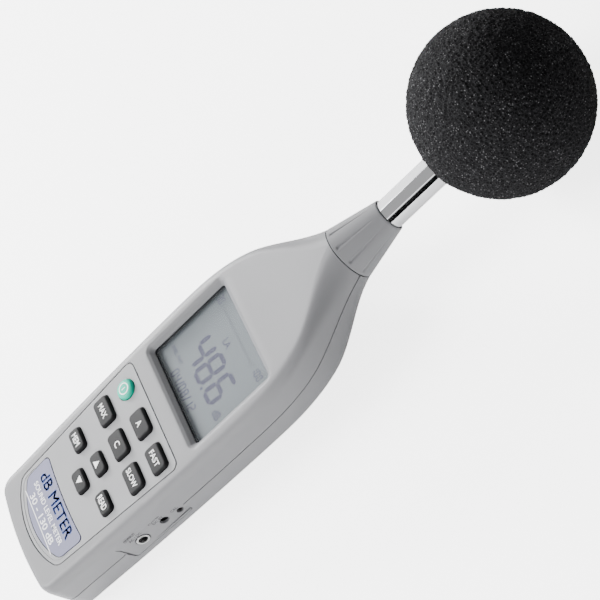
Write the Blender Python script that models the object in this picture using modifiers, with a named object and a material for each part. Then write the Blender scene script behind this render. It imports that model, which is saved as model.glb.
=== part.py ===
"""Handheld sound level meter: two-part case, keypad, display, microphone on a tube and foam windscreen.

The meter lies on its back: +Z out of the front face, +Y towards the microphone, +X to the right.
The origin is on the flat of the back. Sizes are in metres, written as millimetres times MM.
"""

from math import cos, pi, radians, sin, sqrt, tau

import bmesh
import bpy
from mathutils import Matrix, Vector

MM = 0.001
GAP = 0.3 * MM  # between pieces that touch

# Case
BACK_Z = 0.0
FRONT_Z = 27.5 * MM
PARTING_Z = 14.5 * MM
WALL = 2.0 * MM
TAIL_Y = -100.5 * MM
NECK_Y = 86.5 * MM  # the ring groove where the case meets the neck cone
NECK_RADIUS = 12.0 * MM
TAIL_BOW = 2.6 * MM  # how far the end's corners lie ahead of its middle
TAIL_CORNER = 7.0 * MM
TAIL_EDGE = 4.0 * MM
FRONT_EDGE = 5.0 * MM
BACK_EDGE = 7.0 * MM
SIDE_DRAFT = 0.6 * MM
# Distance along the case and half width at the parting line, from the end to the neck, in millimetres.
CASE_PLAN = (
    (-100.5, 30.9), (-85.0, 31.4), (-60.0, 32.5), (-30.0, 33.5), (0.0, 34.1), (22.0, 34.2), (31.0, 33.8),
    (39.0, 32.8), (47.0, 31.0), (55.0, 28.0), (64.0, 23.3), (73.0, 18.3), (80.0, 14.8), (86.5, 12.0),
)

# Microphone
AXIS_Z = 16.3 * MM
CONE_END_Y = 109.0 * MM
CONE_END_RADIUS = 7.2 * MM
SPIGOT_Y = 78.0 * MM
TUBE_RADIUS = 6.4 * MM
TUBE_WALL = 0.7 * MM
TUBE_Y = (70.0 * MM, 160.0 * MM)
CAPSULE_END_Y = 171.0 * MM
GRID_END_Y = 176.0 * MM
SCREEN_RADIUS = 35.0 * MM
SCREEN_BORE = 7.0 * MM
SCREEN_Y = 170.0 * MM
SCREEN_END_Y = 178.0 * MM  # the bore's blind end
SCREEN_SIDE = -1.6 * MM  # the hand-cut foam sits a little to one side of its bore
FLUTES = 10

# Display
WINDOW_HALF = 26.3 * MM
WINDOW_Y = (-6.4 * MM, 38.8 * MM)
WINDOW_DEPTH = 2.6 * MM
WINDOW_SLOPE = 1.7 * MM
LENS_HALF = 26.2 * MM
LENS_Y = (-6.2 * MM, 38.9 * MM)
LENS_Z = (23.7 * MM, 24.6 * MM)
GASKET_Z = (22.8 * MM, 23.4 * MM)
GLASS_Z = (20.4 * MM, 22.5 * MM)

# Keypad panel
PANEL_TOP_Y = -15.0 * MM
PANEL_END_Y = -92.4 * MM
PANEL_HALF_TOP = 27.9 * MM
PANEL_TAPER = 0.068
PANEL_END_RADIUS = 42.0 * MM
PANEL_CORNER = 3.0 * MM
PANEL_THICK = 0.45 * MM
PANEL_SEAT_Z = FRONT_Z - PANEL_THICK - GAP
KEYPAD_LOW_Y = -65.5 * MM
LABEL_TOP_Y = -69.3 * MM
LABEL_MARGIN = 2.4 * MM
LABEL_END_MARGIN = 3.4 * MM
LABEL_TOP_Z = FRONT_Z + 0.1 * MM

# Keys: name, centre x and y, width and height, in millimetres
KEYS = (
    ("key_a", 0.0, -22.4, 12.4, 7.9),
    ("key_fast", 18.3, -22.4, 12.4, 7.9),
    ("key_max", -17.6, -35.6, 12.4, 7.9),
    ("key_c", 0.0, -35.6, 12.4, 7.9),
    ("key_slow", 17.6, -35.6, 12.4, 7.9),
    ("key_up", 0.0, -47.9, 10.4, 6.2),
    ("key_mem", -16.5, -52.8, 10.4, 6.2),
    ("key_read", 16.5, -52.8, 10.4, 6.2),
    ("key_down", 0.0, -59.2, 10.4, 6.2),
)
POWER_KEY_AT = (-18.3 * MM, -22.4 * MM)
POWER_KEY_RADIUS = 4.2 * MM
# The power key's top: share of its radius, and height above the other keys' tops.
POWER_KEY_DOME = ((0.0, 0.2 * MM), (0.45, 0.1 * MM), (0.8, -0.2 * MM), (0.95, -0.6 * MM), (1.0, -1.1 * MM))
KEY_TOP_Z = 29.1 * MM
KEY_FLANGE_Z = (25.3 * MM, 26.5 * MM)
KEY_FLANGE_RIM = 0.7 * MM
KEY_STEM_Z = 22.3 * MM
KEY_CORNER = 1.7 * MM
KEY_CLEARANCE = 0.35 * MM

# Boards
BOARD_HALF = 26.0 * MM
BOARD_Y = (-80.0 * MM, 42.0 * MM)
BOARD_Z = (16.6 * MM, 18.2 * MM)
MAT_HALF = 23.6 * MM
MAT_Y = (-64.0 * MM, -17.0 * MM)
MAT_Z = (18.5 * MM, 20.3 * MM)
MAT_PAD_Z = 21.2 * MM

# The microphone's lead, from its board through the nut to the main board's edge, in millimetres.
LEAD_ROUTE = (
    (0, 83.4, 16.3), (0, 76, 16.3), (0, 68, 16.0), (3, 60, 13.6), (5, 52, 13.6),
    (5, 46, 16.4), (5, 42.6, 17.4),
)

# Side sockets: y and z of their centres
SIDE_X = 32.4 * MM  # the flat that the sockets open in
JACK_AT = (-51.5 * MM, 14.3 * MM)
JACK_RING = (2.0 * MM, 2.9 * MM)
POWER_AT = (-39.0 * MM, 13.8 * MM)
POWER_HOLE = 2.0 * MM
TRIMMER_AT = (-31.8 * MM, 11.8 * MM)
TRIMMER_HOLE = 1.5 * MM
TONGUE_Y = (-61.0 * MM, -28.5 * MM)
TONGUE_Z = (8.0 * MM, 17.0 * MM)
TONGUE_RECESS_Z = (8.9 * MM, 19.5 * MM)

# Battery bay
CELL_RADIUS = 5.2 * MM
CELL_LENGTH = 44.0 * MM
CELL_PITCH = 10.9 * MM
CELL_Z = 8.9 * MM
BAY_WALL = 1.0 * MM
BAY_HALF = 21.9 * MM
BAY_Y = (-93.4 * MM, -42.7 * MM)
BAY_Z = (3.9 * MM, 14.4 * MM)
CONTACT_THICK = 0.4 * MM
SPRING_LENGTH = 4.4 * MM
SPRING_RADIUS = 3.0 * MM
SPRING_WIRE = 0.35 * MM
COVER_HALF = 22.2 * MM
COVER_HEAD_Y = -40.0 * MM
COVER_TOP_Z = 5.0 * MM

# Fasteners
SCREWS = ((-20.0 * MM, -12.3 * MM), (20.0 * MM, -12.3 * MM), (-12.0 * MM, 61.0 * MM), (12.0 * MM, 61.0 * MM))
SCREW_SEAT_Z = 4.5 * MM
SCREW_HEAD = 2.6 * MM
SCREW_SHANK = 1.4 * MM
SCREW_END_Z = 22.0 * MM
POST_RADIUS = 3.9 * MM
BUSH_Y = 16.0 * MM
BUSH_RADIUS = 4.6 * MM
BUSH_HOLE = 3.1 * MM
BUSH_TOP_Z = 9.0 * MM

# An object built along +Z is turned to point along +Y or +X.
ALONG_Y = (-pi / 2, 0.0, 0.0)
ALONG_X = (0.0, pi / 2, 0.0)


def clear_scene():
    for obj in list(bpy.data.objects):
        bpy.data.objects.remove(obj, do_unlink=True)


def collection(name):
    made = bpy.data.collections.new(name)
    bpy.context.scene.collection.children.link(made)
    return made


def material(name, colour, roughness, metallic=0.0, alpha=1.0):
    made = bpy.data.materials.new(name)
    made.use_nodes = True
    shader = made.node_tree.nodes["Principled BSDF"]
    shader.inputs["Base Color"].default_value = (*colour, 1.0)
    shader.inputs["Roughness"].default_value = roughness
    shader.inputs["Metallic"].default_value = metallic
    shader.inputs["Alpha"].default_value = alpha
    return made


clear_scene()
PARTS = collection("sound_level_meter")
CUTTERS = collection("cutters")

CASE_GREY = material("case_grey", (0.55, 0.55, 0.54), 0.45)
PANEL_GREY = material("panel_grey", (0.60, 0.60, 0.60), 0.40)
LABEL_SILVER = material("label_silver", (0.52, 0.52, 0.60), 0.30, 0.6)
KEY_GREY = material("key_grey", (0.12, 0.12, 0.12), 0.55)
KEY_GREEN = material("key_green", (0.10, 0.60, 0.42), 0.40)
CHROME = material("chrome", (0.80, 0.80, 0.82), 0.08, 1.0)
STEEL = material("steel", (0.60, 0.60, 0.60), 0.30, 1.0)
BRASS = material("brass", (0.75, 0.58, 0.28), 0.30, 1.0)
FOAM = material("foam", (0.015, 0.015, 0.017), 1.0)
CLEAR = material("clear", (0.90, 0.92, 0.92), 0.05, 0.0, 0.3)
DISPLAY = material("display", (0.34, 0.38, 0.40), 0.30)
BLACK_PLASTIC = material("black_plastic", (0.03, 0.03, 0.03), 0.50)
RUBBER = material("rubber", (0.10, 0.10, 0.11), 0.80)
BOARD_GREEN = material("board_green", (0.02, 0.20, 0.08), 0.45)
CELL_JACKET = material("cell_jacket", (0.05, 0.12, 0.30), 0.35)


def add(name, bm, finish=None, location=(0.0, 0.0, 0.0), rotation=(0.0, 0.0, 0.0)):
    """A part from a bmesh, or a cutter where it has no finish."""
    mesh = bpy.data.meshes.new(name)
    bm.to_mesh(mesh)
    bm.free()
    obj = bpy.data.objects.new(name, mesh)
    obj.location = location
    obj.rotation_euler = rotation
    if finish is None:
        CUTTERS.objects.link(obj)
        obj.hide_render = True
        obj.display_type = "WIRE"
    else:
        PARTS.objects.link(obj)
        mesh.materials.append(finish)
        mesh.shade_smooth()
        mesh.set_sharp_from_angle(angle=radians(35))
    return obj


def boolean(obj, operation, tool):
    modifier = obj.modifiers.new(tool.name, "BOOLEAN")
    modifier.operation = operation
    modifier.object = tool


def box(low, high, edge=0.0, along=None, steps=3, bm=None):
    """A box between two corners. edge rounds the edges that run along one axis, or all of them."""
    bm = bm or bmesh.new()
    low, high = Vector(low), Vector(high)
    place = Matrix.Translation((low + high) / 2) @ Matrix.Diagonal((*(high - low), 1.0))
    corners = bmesh.ops.create_cube(bm, size=1.0, matrix=place)["verts"]
    if edge:
        edges = {e for v in corners for e in v.link_edges}
        if along is not None:
            edges = {e for e in edges if abs((e.verts[0].co - e.verts[1].co).normalized()[along]) > 0.99}
        bmesh.ops.bevel(bm, geom=list(edges), offset=edge, segments=steps, affect="EDGES", profile=0.5)
    return bm


def cylinder(radius, low, high, centre=(0.0, 0.0), sides=20, bm=None):
    """A cylinder along +Z from low to high."""
    bm = bm or bmesh.new()
    place = Matrix.Translation((centre[0], centre[1], (low + high) / 2))
    bmesh.ops.create_cone(
        bm, cap_ends=True, segments=sides, radius1=radius, radius2=radius, depth=high - low, matrix=place
    )
    return bm


def side_cylinder(radius, low_x, high_x, at, sides=20, bm=None):
    """A cylinder along +X from low_x to high_x, centred on at, a y and a z."""
    bm = bm or bmesh.new()
    place = Matrix.Translation(((low_x + high_x) / 2, at[0], at[1])) @ Matrix.Rotation(pi / 2, 4, "Y")
    bmesh.ops.create_cone(
        bm,
        cap_ends=True,
        segments=sides,
        radius1=radius,
        radius2=radius,
        depth=high_x - low_x,
        matrix=place,
    )
    return bm


def turned(name, profile, finish, location, rotation=(0.0, 0.0, 0.0), steps=32, closed=False):
    """A solid turned about its own Z. The profile, (radius, height) points, runs down the outer side."""
    bm = bmesh.new()
    points = [bm.verts.new((radius, 0.0, height)) for radius, height in profile]
    for start, end in zip(points, points[1:]):
        bm.edges.new((start, end))
    if closed:
        bm.edges.new((points[-1], points[0]))
    obj = add(name, bm, finish, location, rotation)
    screw = obj.modifiers.new("turn", "SCREW")
    screw.steps = screw.render_steps = steps
    screw.use_merge_vertices = True
    screw.merge_threshold = 0.00001
    return obj


def tube(name, inner, outer, low, high, finish, location, rotation=(0.0, 0.0, 0.0), steps=32):
    profile = ((outer, high), (outer, low), (inner, low), (inner, high))
    return turned(name, profile, finish, location, rotation, steps, closed=True)


def rounded(corners, steps=3):
    """An outline from (x, y, radius) corners, each rounded by an arc of its radius."""
    outline = []
    count = len(corners)
    for index, (x, y, radius) in enumerate(corners):
        corner = Vector((x, y))
        if not radius:
            outline.append(tuple(corner))
            continue
        before = (Vector(corners[index - 1][:2]) - corner).normalized()
        after = (Vector(corners[(index + 1) % count][:2]) - corner).normalized()
        half = before.angle(after) / 2
        centre = corner + (before + after).normalized() * radius / sin(half)
        start = corner + before * radius * cos(half) / sin(half) - centre
        end = corner + after * radius * cos(half) / sin(half) - centre
        turn = start.angle_signed(end)
        for step in range(steps + 1):
            outline.append(tuple(centre + Matrix.Rotation(-turn * step / steps, 2) @ start))
    return outline


def rectangle(half, low_y, high_y, corner):
    right = (half, high_y, corner), (half, low_y, corner)
    left = (-half, low_y, corner), (-half, high_y, corner)
    return rounded((*right, *left))


def stack(levels, bm=None):
    """A solid through outlines of equal length at rising heights, (outline, z) pairs."""
    bm = bm or bmesh.new()
    rings = [[bm.verts.new((x, y, z)) for x, y in outline] for outline, z in levels]
    faces = [bm.faces.new(rings[0]), bm.faces.new(rings[-1])]
    for low, high in zip(rings, rings[1:]):
        for index in range(len(low)):
            faces.append(bm.faces.new((low[index - 1], low[index], high[index], high[index - 1])))
    bmesh.ops.recalc_face_normals(bm, faces=faces)
    return bm


def ease(value, start, end):
    """0 before start, 1 after end and a smooth rise between."""
    t = min(max((value - start) / (end - start), 0.0), 1.0)
    return t * t * (3.0 - 2.0 * t)


def mix(a, b, t):
    return a + (b - a) * t


# ---------------------------------------------------------------- case


def case_half_width(y):
    """The case's half width at the parting line: a smooth curve through CASE_PLAN."""
    plan = [(along * MM, half * MM) for along, half in CASE_PLAN]
    index = max(i for i in range(len(plan) - 1) if plan[i][0] <= y or i == 0)

    def slope(i):
        before, after = plan[max(i - 1, 0)], plan[min(i + 1, len(plan) - 1)]
        return (after[1] - before[1]) / (after[0] - before[0])

    (y0, w0), (y1, w1) = plan[index], plan[index + 1]
    span = y1 - y0
    t = (y - y0) / span
    return (
        w0 * (2 * t**3 - 3 * t**2 + 1)
        + w1 * (3 * t**2 - 2 * t**3)
        + slope(index) * span * (t**3 - 2 * t**2 + t)
        + slope(index + 1) * span * (t**3 - t**2)
    )


def parting_height(y):
    return mix(PARTING_Z, AXIS_Z, ease(y, 45 * MM, NECK_Y))


def rounded_off(radius, distance):
    """How far an edge of this radius has fallen at a distance from its end."""
    return radius - sqrt(radius**2 - max(radius - distance, 0.0) ** 2)


def case_section(station):
    """Half a cross-section, from the middle of the front round the right side to the middle of the back."""
    neck = ease(station, 45 * MM, NECK_Y)
    rounding = ease(station, 55 * MM, NECK_Y)
    parting = parting_height(station)
    front = mix(FRONT_Z, AXIS_Z + NECK_RADIUS, neck)
    back = mix(BACK_Z, AXIS_Z - NECK_RADIUS, ease(station, 52 * MM, NECK_Y))
    fall = rounded_off(TAIL_EDGE, station - TAIL_Y)
    half = case_half_width(station) - rounded_off(TAIL_CORNER, station - TAIL_Y)
    draft = SIDE_DRAFT * (1.0 - neck)
    bow = TAIL_BOW * (1.0 - ease(station, TAIL_Y, TAIL_Y + 35 * MM))
    points = []
    for surface, edge in ((front - fall, FRONT_EDGE), (back + fall, BACK_EDGE)):
        radius = max(mix(edge, NECK_RADIUS, rounding) - fall, 1.0 * MM)
        centre_x = half - draft - radius
        inward = radius if surface < parting else -radius
        side = [(centre_x * step / 4, surface) for step in range(4)]
        for step in range(7):
            turn = step / 6 * pi / 2
            side.append((centre_x + radius * sin(turn), surface + inward * (1 - cos(turn))))
        points.append(side)
    outline = points[0] + [(half, parting)] + points[1][::-1]
    return [(x, station + bow * (x / half) ** 2, z) for x, z in outline]


def case_skin(name, finish):
    """The whole case as one shell, open at the neck."""
    stations = [TAIL_Y + TAIL_CORNER * (1 - cos(step / 6 * pi / 2)) for step in range(7)]
    stations += [-80 * MM, -62 * MM, -42 * MM, -20 * MM, 0.0, 14 * MM]
    stations += [mix(22 * MM, NECK_Y - GAP / 2, step / 11) for step in range(12)]
    bm = bmesh.new()
    rings = [[bm.verts.new(point) for point in case_section(station)] for station in stations]
    count = len(rings[0])
    for low, high in zip(rings, rings[1:]):
        for index in range(count - 1):
            bm.faces.new((low[index], low[index + 1], high[index + 1], high[index]))
    end = rings[0]
    for index in range(count // 2 - 1):
        bm.faces.new((end[index], end[count - 1 - index], end[count - 2 - index], end[index + 1]))
    middle = count // 2
    bm.faces.new((end[middle - 1], end[middle + 1], end[middle]))
    bmesh.ops.recalc_face_normals(bm, faces=bm.faces)
    obj = add(name, bm, finish)
    mirror = obj.modifiers.new("other_side", "MIRROR")
    mirror.merge_threshold = 0.00001
    shell = obj.modifiers.new("wall", "SOLIDIFY")
    shell.thickness = WALL
    shell.offset = -1.0
    return obj


def parting_block(name, far_z, clearance):
    """Everything on one side of the parting line, up to far_z."""
    ys = [-120 * MM] + [mix(40 * MM, NECK_Y, step / 6) for step in range(7)] + [100 * MM]
    shift = clearance if far_z < PARTING_Z else -clearance
    outline = [(y, parting_height(y) + shift) for y in ys] + [(100 * MM, far_z), (-120 * MM, far_z)]
    bm = stack(((outline, -45 * MM), (outline, 45 * MM)))
    bm.transform(Matrix(((0, 0, 1, 0), (1, 0, 0, 0), (0, 1, 0, 0), (0, 0, 0, 1))))
    return add(name, bm)


def tongue_block(name, grown):
    """The part of the right side that the front case keeps below the parting line."""
    low = (24 * MM, TONGUE_Y[0] - grown, TONGUE_Z[0] - grown)
    high = (45 * MM, TONGUE_Y[1] + grown, TONGUE_Z[1])
    return add(name, box(low, high, 1.5 * MM, along=0))


def panel_outline(top_y, end_y, margin, end_radius, corner, end_corner):
    """The keypad panel's outline drawn in by a margin: tapered sides and an arc across the end."""

    def half(y):
        return PANEL_HALF_TOP - PANEL_TAPER * (PANEL_TOP_Y - y) - margin

    corner_x = half(end_y)
    for _ in range(5):
        corner_y = end_y + end_radius - sqrt(end_radius**2 - corner_x**2)
        corner_x = half(corner_y)
    arc = []
    for step in range(-3, 4):
        x = -corner_x * step / 5
        arc.append((x, end_y + end_radius - sqrt(end_radius**2 - x**2), 0.0))
    right = [(half(top_y), top_y, corner), (corner_x, corner_y, end_corner)]
    left = [(-corner_x, corner_y, end_corner), (-half(top_y), top_y, corner)]
    return rounded(right + arc + left)


def whole_panel(margin):
    return panel_outline(
        PANEL_TOP_Y - margin, PANEL_END_Y + margin, margin, PANEL_END_RADIUS, PANEL_CORNER, 5.5 * MM
    )


def label_outline(margin):
    end_margin = LABEL_END_MARGIN + margin
    return panel_outline(
        LABEL_TOP_Y - margin,
        PANEL_END_Y + end_margin,
        LABEL_MARGIN + margin,
        PANEL_END_RADIUS - end_margin,
        2.0 * MM,
        4.5 * MM,
    )


def window_outline(grown, corner):
    return rectangle(WINDOW_HALF + grown, WINDOW_Y[0] - grown, WINDOW_Y[1] + grown, corner)


def make_front_case():
    below = parting_block("below_parting", -30 * MM, GAP / 2)
    boolean(below, "DIFFERENCE", tongue_block("tongue", 0.0))

    inside = box((-28.2 * MM, -9.0 * MM, 23.9 * MM), (28.2 * MM, 41.2 * MM, 26.0 * MM))
    for x, y in SCREWS:
        low = 18.6 * MM if y < 0 else PARTING_Z + 1.2 * MM
        cylinder(2.7 * MM, low, 26.1 * MM, (x, y), 16, inside)

    openings = stack(
        [
            (panel_outline(-16.6 * MM, KEYPAD_LOW_Y, 1.6 * MM, 200 * MM, 2.0 * MM, 2.0 * MM), z)
            for z in (20 * MM, 30 * MM)
        ]
    )
    lens_seat = rectangle(LENS_HALF + GAP, LENS_Y[0] - GAP, LENS_Y[1] + GAP, 1.0 * MM)
    stack([(lens_seat, 22 * MM), (lens_seat, LENS_Z[1] + GAP)], openings)
    for x, y in SCREWS:
        cylinder(SCREW_SHANK + GAP, 10 * MM, 23.5 * MM, (x, y), 12, openings)

    window = stack(
        (
            (window_outline(-WINDOW_SLOPE, 1.4 * MM), FRONT_Z - WINDOW_DEPTH - 0.5 * MM),
            (window_outline(-WINDOW_SLOPE, 1.4 * MM), FRONT_Z - WINDOW_DEPTH + 0.4 * MM),
            (window_outline(-0.3 * MM, 2.2 * MM), FRONT_Z - 0.35 * MM),
            (window_outline(0.7 * MM, 3.0 * MM), FRONT_Z + 0.5 * MM),
        )
    )

    recess = box(
        (SIDE_X, TONGUE_Y[0] + 0.9 * MM, TONGUE_RECESS_Z[0]),
        (SIDE_X + 4 * MM, TONGUE_Y[1] + 0.6 * MM, TONGUE_RECESS_Z[1]),
        1.0 * MM,
        along=0,
    )
    side_holes = side_cylinder(JACK_RING[1] + GAP, 24 * MM, 40 * MM, JACK_AT, 24)
    side_cylinder(POWER_HOLE, 24 * MM, 40 * MM, POWER_AT, 20, side_holes)
    side_cylinder(TRIMMER_HOLE, 24 * MM, 40 * MM, TRIMMER_AT, 16, side_holes)

    case = case_skin("front_case", CASE_GREY)
    panel_seat = stack([(whole_panel(-GAP), PANEL_SEAT_Z), (whole_panel(-GAP), FRONT_Z + 2 * MM)])
    boolean(case, "DIFFERENCE", below)
    boolean(case, "UNION", add("window_frame_and_posts", inside))
    boolean(case, "DIFFERENCE", add("panel_seat", panel_seat))
    boolean(case, "DIFFERENCE", add("front_openings", openings))
    boolean(case, "DIFFERENCE", add("window_cut", window))
    boolean(case, "DIFFERENCE", add("tongue_recess", recess))
    boolean(case, "DIFFERENCE", add("side_holes", side_holes))


def cover_region(grown):
    low = (-COVER_HALF - grown, -120 * MM, -5 * MM)
    return box(low, (COVER_HALF + grown, COVER_HEAD_Y + grown, COVER_TOP_Z + grown))


def make_rear_case():
    above = parting_block("above_parting", 60 * MM, GAP / 2)
    boolean(above, "UNION", tongue_block("tongue_room", GAP))

    posts = cylinder(BUSH_RADIUS + 2.0 * MM, 1.2 * MM, BUSH_TOP_Z + 1.6 * MM, (0.0, BUSH_Y), 24)
    for x, y in SCREWS:
        cylinder(POST_RADIUS, 1.3 * MM, PARTING_Z - GAP, (x, y), 20, posts)

    holes = cylinder(BUSH_RADIUS + GAP, -2 * MM, BUSH_TOP_Z + GAP, (0.0, BUSH_Y), 24)
    for x, y in SCREWS:
        cylinder(SCREW_HEAD + GAP, -2 * MM, SCREW_SEAT_Z, (x, y), 20, holes)
    shafts = bmesh.new()
    for x, y in SCREWS:
        cylinder(SCREW_SHANK + GAP, 2 * MM, 20 * MM, (x, y), 12, shafts)

    case = case_skin("rear_case", CASE_GREY)
    boolean(case, "DIFFERENCE", above)
    boolean(case, "UNION", add("posts_and_boss", posts))
    boolean(case, "DIFFERENCE", add("cover_room", cover_region(GAP)))
    boolean(case, "DIFFERENCE", add("bush_and_head_holes", holes))
    boolean(case, "DIFFERENCE", add("shaft_holes", shafts))


def make_battery_cover():
    head = COVER_HEAD_Y
    tab = box((-14 * MM, head - 2.5 * MM, 1.2 * MM), (14 * MM, head - 0.3 * MM, 3.2 * MM))
    lip = box((-14 * MM, head - 2.5 * MM, 2.3 * MM), (14 * MM, head + 2.6 * MM, 3.3 * MM))
    grooves = bmesh.new()
    for row in range(6):
        y = head - (9 + 1.8 * row) * MM
        box((-9 * MM, y, -1 * MM), (9 * MM, y + 0.9 * MM, 0.45 * MM), bm=grooves)
    cover = case_skin("battery_cover", CASE_GREY)
    boolean(cover, "INTERSECT", add("cover_part", cover_region(0.0)))
    boolean(cover, "UNION", add("cover_tab", tab))
    boolean(cover, "UNION", add("cover_lip", lip))
    boolean(cover, "DIFFERENCE", add("grip_grooves", grooves))


def make_neck_cone():
    low = NECK_Y + GAP / 2
    bore = TUBE_RADIUS + GAP
    profile = (
        (bore, CONE_END_Y),
        (CONE_END_RADIUS - 0.2 * MM, CONE_END_Y),
        (CONE_END_RADIUS, CONE_END_Y - 0.3 * MM),
        (NECK_RADIUS, low + 0.2 * MM),
        (NECK_RADIUS - 0.2 * MM, low),
        (9.4 * MM, low),
        (9.4 * MM, SPIGOT_Y),
        (bore, SPIGOT_Y),
    )
    place = (0.0, 0.0, AXIS_Z)
    cone = turned("neck_cone", profile, CASE_GREY, place, ALONG_Y, 40, closed=True)
    start = Vector((NECK_RADIUS + 0.05 * MM, 0.0, low + 1.2 * MM))
    end = Vector((CONE_END_RADIUS + 1.3 * MM, 0.0, CONE_END_Y - 3.5 * MM))
    run = end - start
    lean = run.to_track_quat("Z", "Y").to_matrix().to_4x4()
    flutes = bmesh.new()
    for index in range(FLUTES):
        turn = Matrix.Rotation(tau * (index + 0.5) / FLUTES, 4, "Z")
        place_flute = turn @ Matrix.Translation((start + end) / 2) @ lean
        bmesh.ops.create_cone(
            flutes, cap_ends=True, segments=8, radius1=0.8 * MM, radius2=0.25 * MM, depth=run.length,
            matrix=place_flute,
        )
    boolean(cone, "DIFFERENCE", add("flutes", flutes, location=place, rotation=ALONG_Y))


# ---------------------------------------------------------------- front


def make_panel():
    plate = whole_panel(0.0)
    panel = add("keypad_panel", stack([(plate, FRONT_Z - PANEL_THICK), (plate, FRONT_Z)]), PANEL_GREY)
    label = label_outline(-GAP)
    slots = stack([(label, 20 * MM), (label, 30 * MM)])
    for _, x, y, width, height in KEYS:
        outline = rectangle(width * MM / 2 + KEY_CLEARANCE, -height * MM / 2 - KEY_CLEARANCE,
                            height * MM / 2 + KEY_CLEARANCE, KEY_CORNER + KEY_CLEARANCE)
        moved = [(px + x * MM, py + y * MM) for px, py in outline]
        stack([(moved, 20 * MM), (moved, 30 * MM)], slots)
    cylinder(POWER_KEY_RADIUS + KEY_CLEARANCE, 20 * MM, 30 * MM, POWER_KEY_AT, 28, slots)
    boolean(panel, "DIFFERENCE", add("panel_slots", slots))
    label = label_outline(0.0)
    add("label_plate", stack([(label, FRONT_Z - PANEL_THICK), (label, LABEL_TOP_Z)]), LABEL_SILVER)


def make_key(name, x, y, width, height):
    """A key: cap with rounded corners and top edge, a flange under the panel and a stem to the mat."""

    def outline(inset, corner):
        return rectangle(width / 2 - inset, inset - height / 2, height / 2 - inset, corner)

    flange = outline(-KEY_FLANGE_RIM, KEY_CORNER)
    stem = outline(width / 4, 0.5 * MM)
    top = KEY_TOP_Z
    levels = [
        (stem, KEY_STEM_Z),
        (stem, KEY_FLANGE_Z[0]),
        (flange, KEY_FLANGE_Z[0]),
        (flange, KEY_FLANGE_Z[1]),
        (outline(0.0, KEY_CORNER), KEY_FLANGE_Z[1]),
        (outline(0.1 * MM, KEY_CORNER), top - 0.55 * MM),
        (outline(0.3 * MM, KEY_CORNER), top - 0.15 * MM),
        (outline(0.7 * MM, KEY_CORNER), top),
    ]
    add(name, stack(levels), KEY_GREY, (x, y, 0.0))


def make_keys():
    for name, x, y, width, height in KEYS:
        make_key(name, x * MM, y * MM, width * MM, height * MM)
    radius = POWER_KEY_RADIUS
    profile = [(share * radius, KEY_TOP_Z + rise) for share, rise in POWER_KEY_DOME]
    profile += [(radius, KEY_FLANGE_Z[1])]
    profile += [(radius + KEY_FLANGE_RIM, KEY_FLANGE_Z[1]), (radius + KEY_FLANGE_RIM, KEY_FLANGE_Z[0])]
    profile += [(2.5 * MM, KEY_FLANGE_Z[0]), (2.5 * MM, KEY_STEM_Z), (0.0, KEY_STEM_Z)]
    turned("key_power", profile, KEY_GREEN, (*POWER_KEY_AT, 0.0), steps=28)


def frame(name, outer, inner, z, finish):
    """A flat ring between two outlines."""
    obj = add(name, stack([(outer, z[0]), (outer, z[1])]), finish)
    boolean(obj, "DIFFERENCE", add(name + "_opening", stack([(inner, z[0] - MM), (inner, z[1] + MM)])))


def make_display():
    lens = rectangle(LENS_HALF, *LENS_Y, 0.8 * MM)
    add("window_lens", stack([(lens, LENS_Z[0]), (lens, LENS_Z[1])]), CLEAR)
    frame("lens_gasket", lens, rectangle(25.0 * MM, -4.6 * MM, 37.5 * MM, 0.8 * MM), GASKET_Z, RUBBER)
    glass = rectangle(25.4 * MM, -5.2 * MM, 38.0 * MM, 0.5 * MM)
    add("lcd_glass", stack([(glass, GLASS_Z[0]), (glass, GLASS_Z[1])]), DISPLAY)
    outer = rectangle(27.8 * MM, -8.3 * MM, 40.8 * MM, 1.0 * MM)
    inner = rectangle(25.7 * MM, -5.5 * MM, 38.3 * MM, 0.5 * MM)
    frame("lcd_holder", outer, inner, (18.5 * MM, 22.4 * MM), BLACK_PLASTIC)
    add("lcd_connector", box((-23 * MM, -4.6 * MM, 18.5 * MM), (23 * MM, -2.2 * MM, 20.1 * MM)), RUBBER)


# ---------------------------------------------------------------- inside


def make_boards():
    sheet = box((-BOARD_HALF, BOARD_Y[0], BOARD_Z[0]), (BOARD_HALF, BOARD_Y[1], BOARD_Z[1]), 1.5 * MM, 2)
    board = add("main_board", sheet, BOARD_GREEN)
    holes = bmesh.new()
    for x, y in SCREWS[:2]:
        cylinder(2.0 * MM, 10 * MM, 25 * MM, (x, y), 16, holes)
    boolean(board, "DIFFERENCE", add("board_holes", holes))

    sheet = box((-MAT_HALF, MAT_Y[0], MAT_Z[0]), (MAT_HALF, MAT_Y[1], MAT_Z[1]), 1.0 * MM, 2)
    mat = add("key_mat", sheet, RUBBER)
    pads = cylinder(2.6 * MM, MAT_Z[1] - 0.5 * MM, MAT_PAD_Z, POWER_KEY_AT, 16)
    for _, x, y, _, _ in KEYS:
        low = ((x - 3) * MM, (y - 1.8) * MM, MAT_Z[1] - 0.5 * MM)
        box(low, ((x + 3) * MM, (y + 1.8) * MM, MAT_PAD_Z), bm=pads)
    boolean(mat, "UNION", add("mat_pads", pads))

    top = BOARD_Z[0] - GAP
    add("controller_chip", box((-7 * MM, 20 * MM, top - 1.4 * MM), (7 * MM, 34 * MM, top)), BLACK_PLASTIC)
    add("level_chip", box((-16 * MM, -2 * MM, top - 1.6 * MM), (-10 * MM, 8 * MM, top)), BLACK_PLASTIC)
    crystal = box((11 * MM, 22 * MM, top - 3.2 * MM), (15.4 * MM, 33 * MM, top), 0.8 * MM, 1)
    add("clock_crystal", crystal, STEEL)


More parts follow.
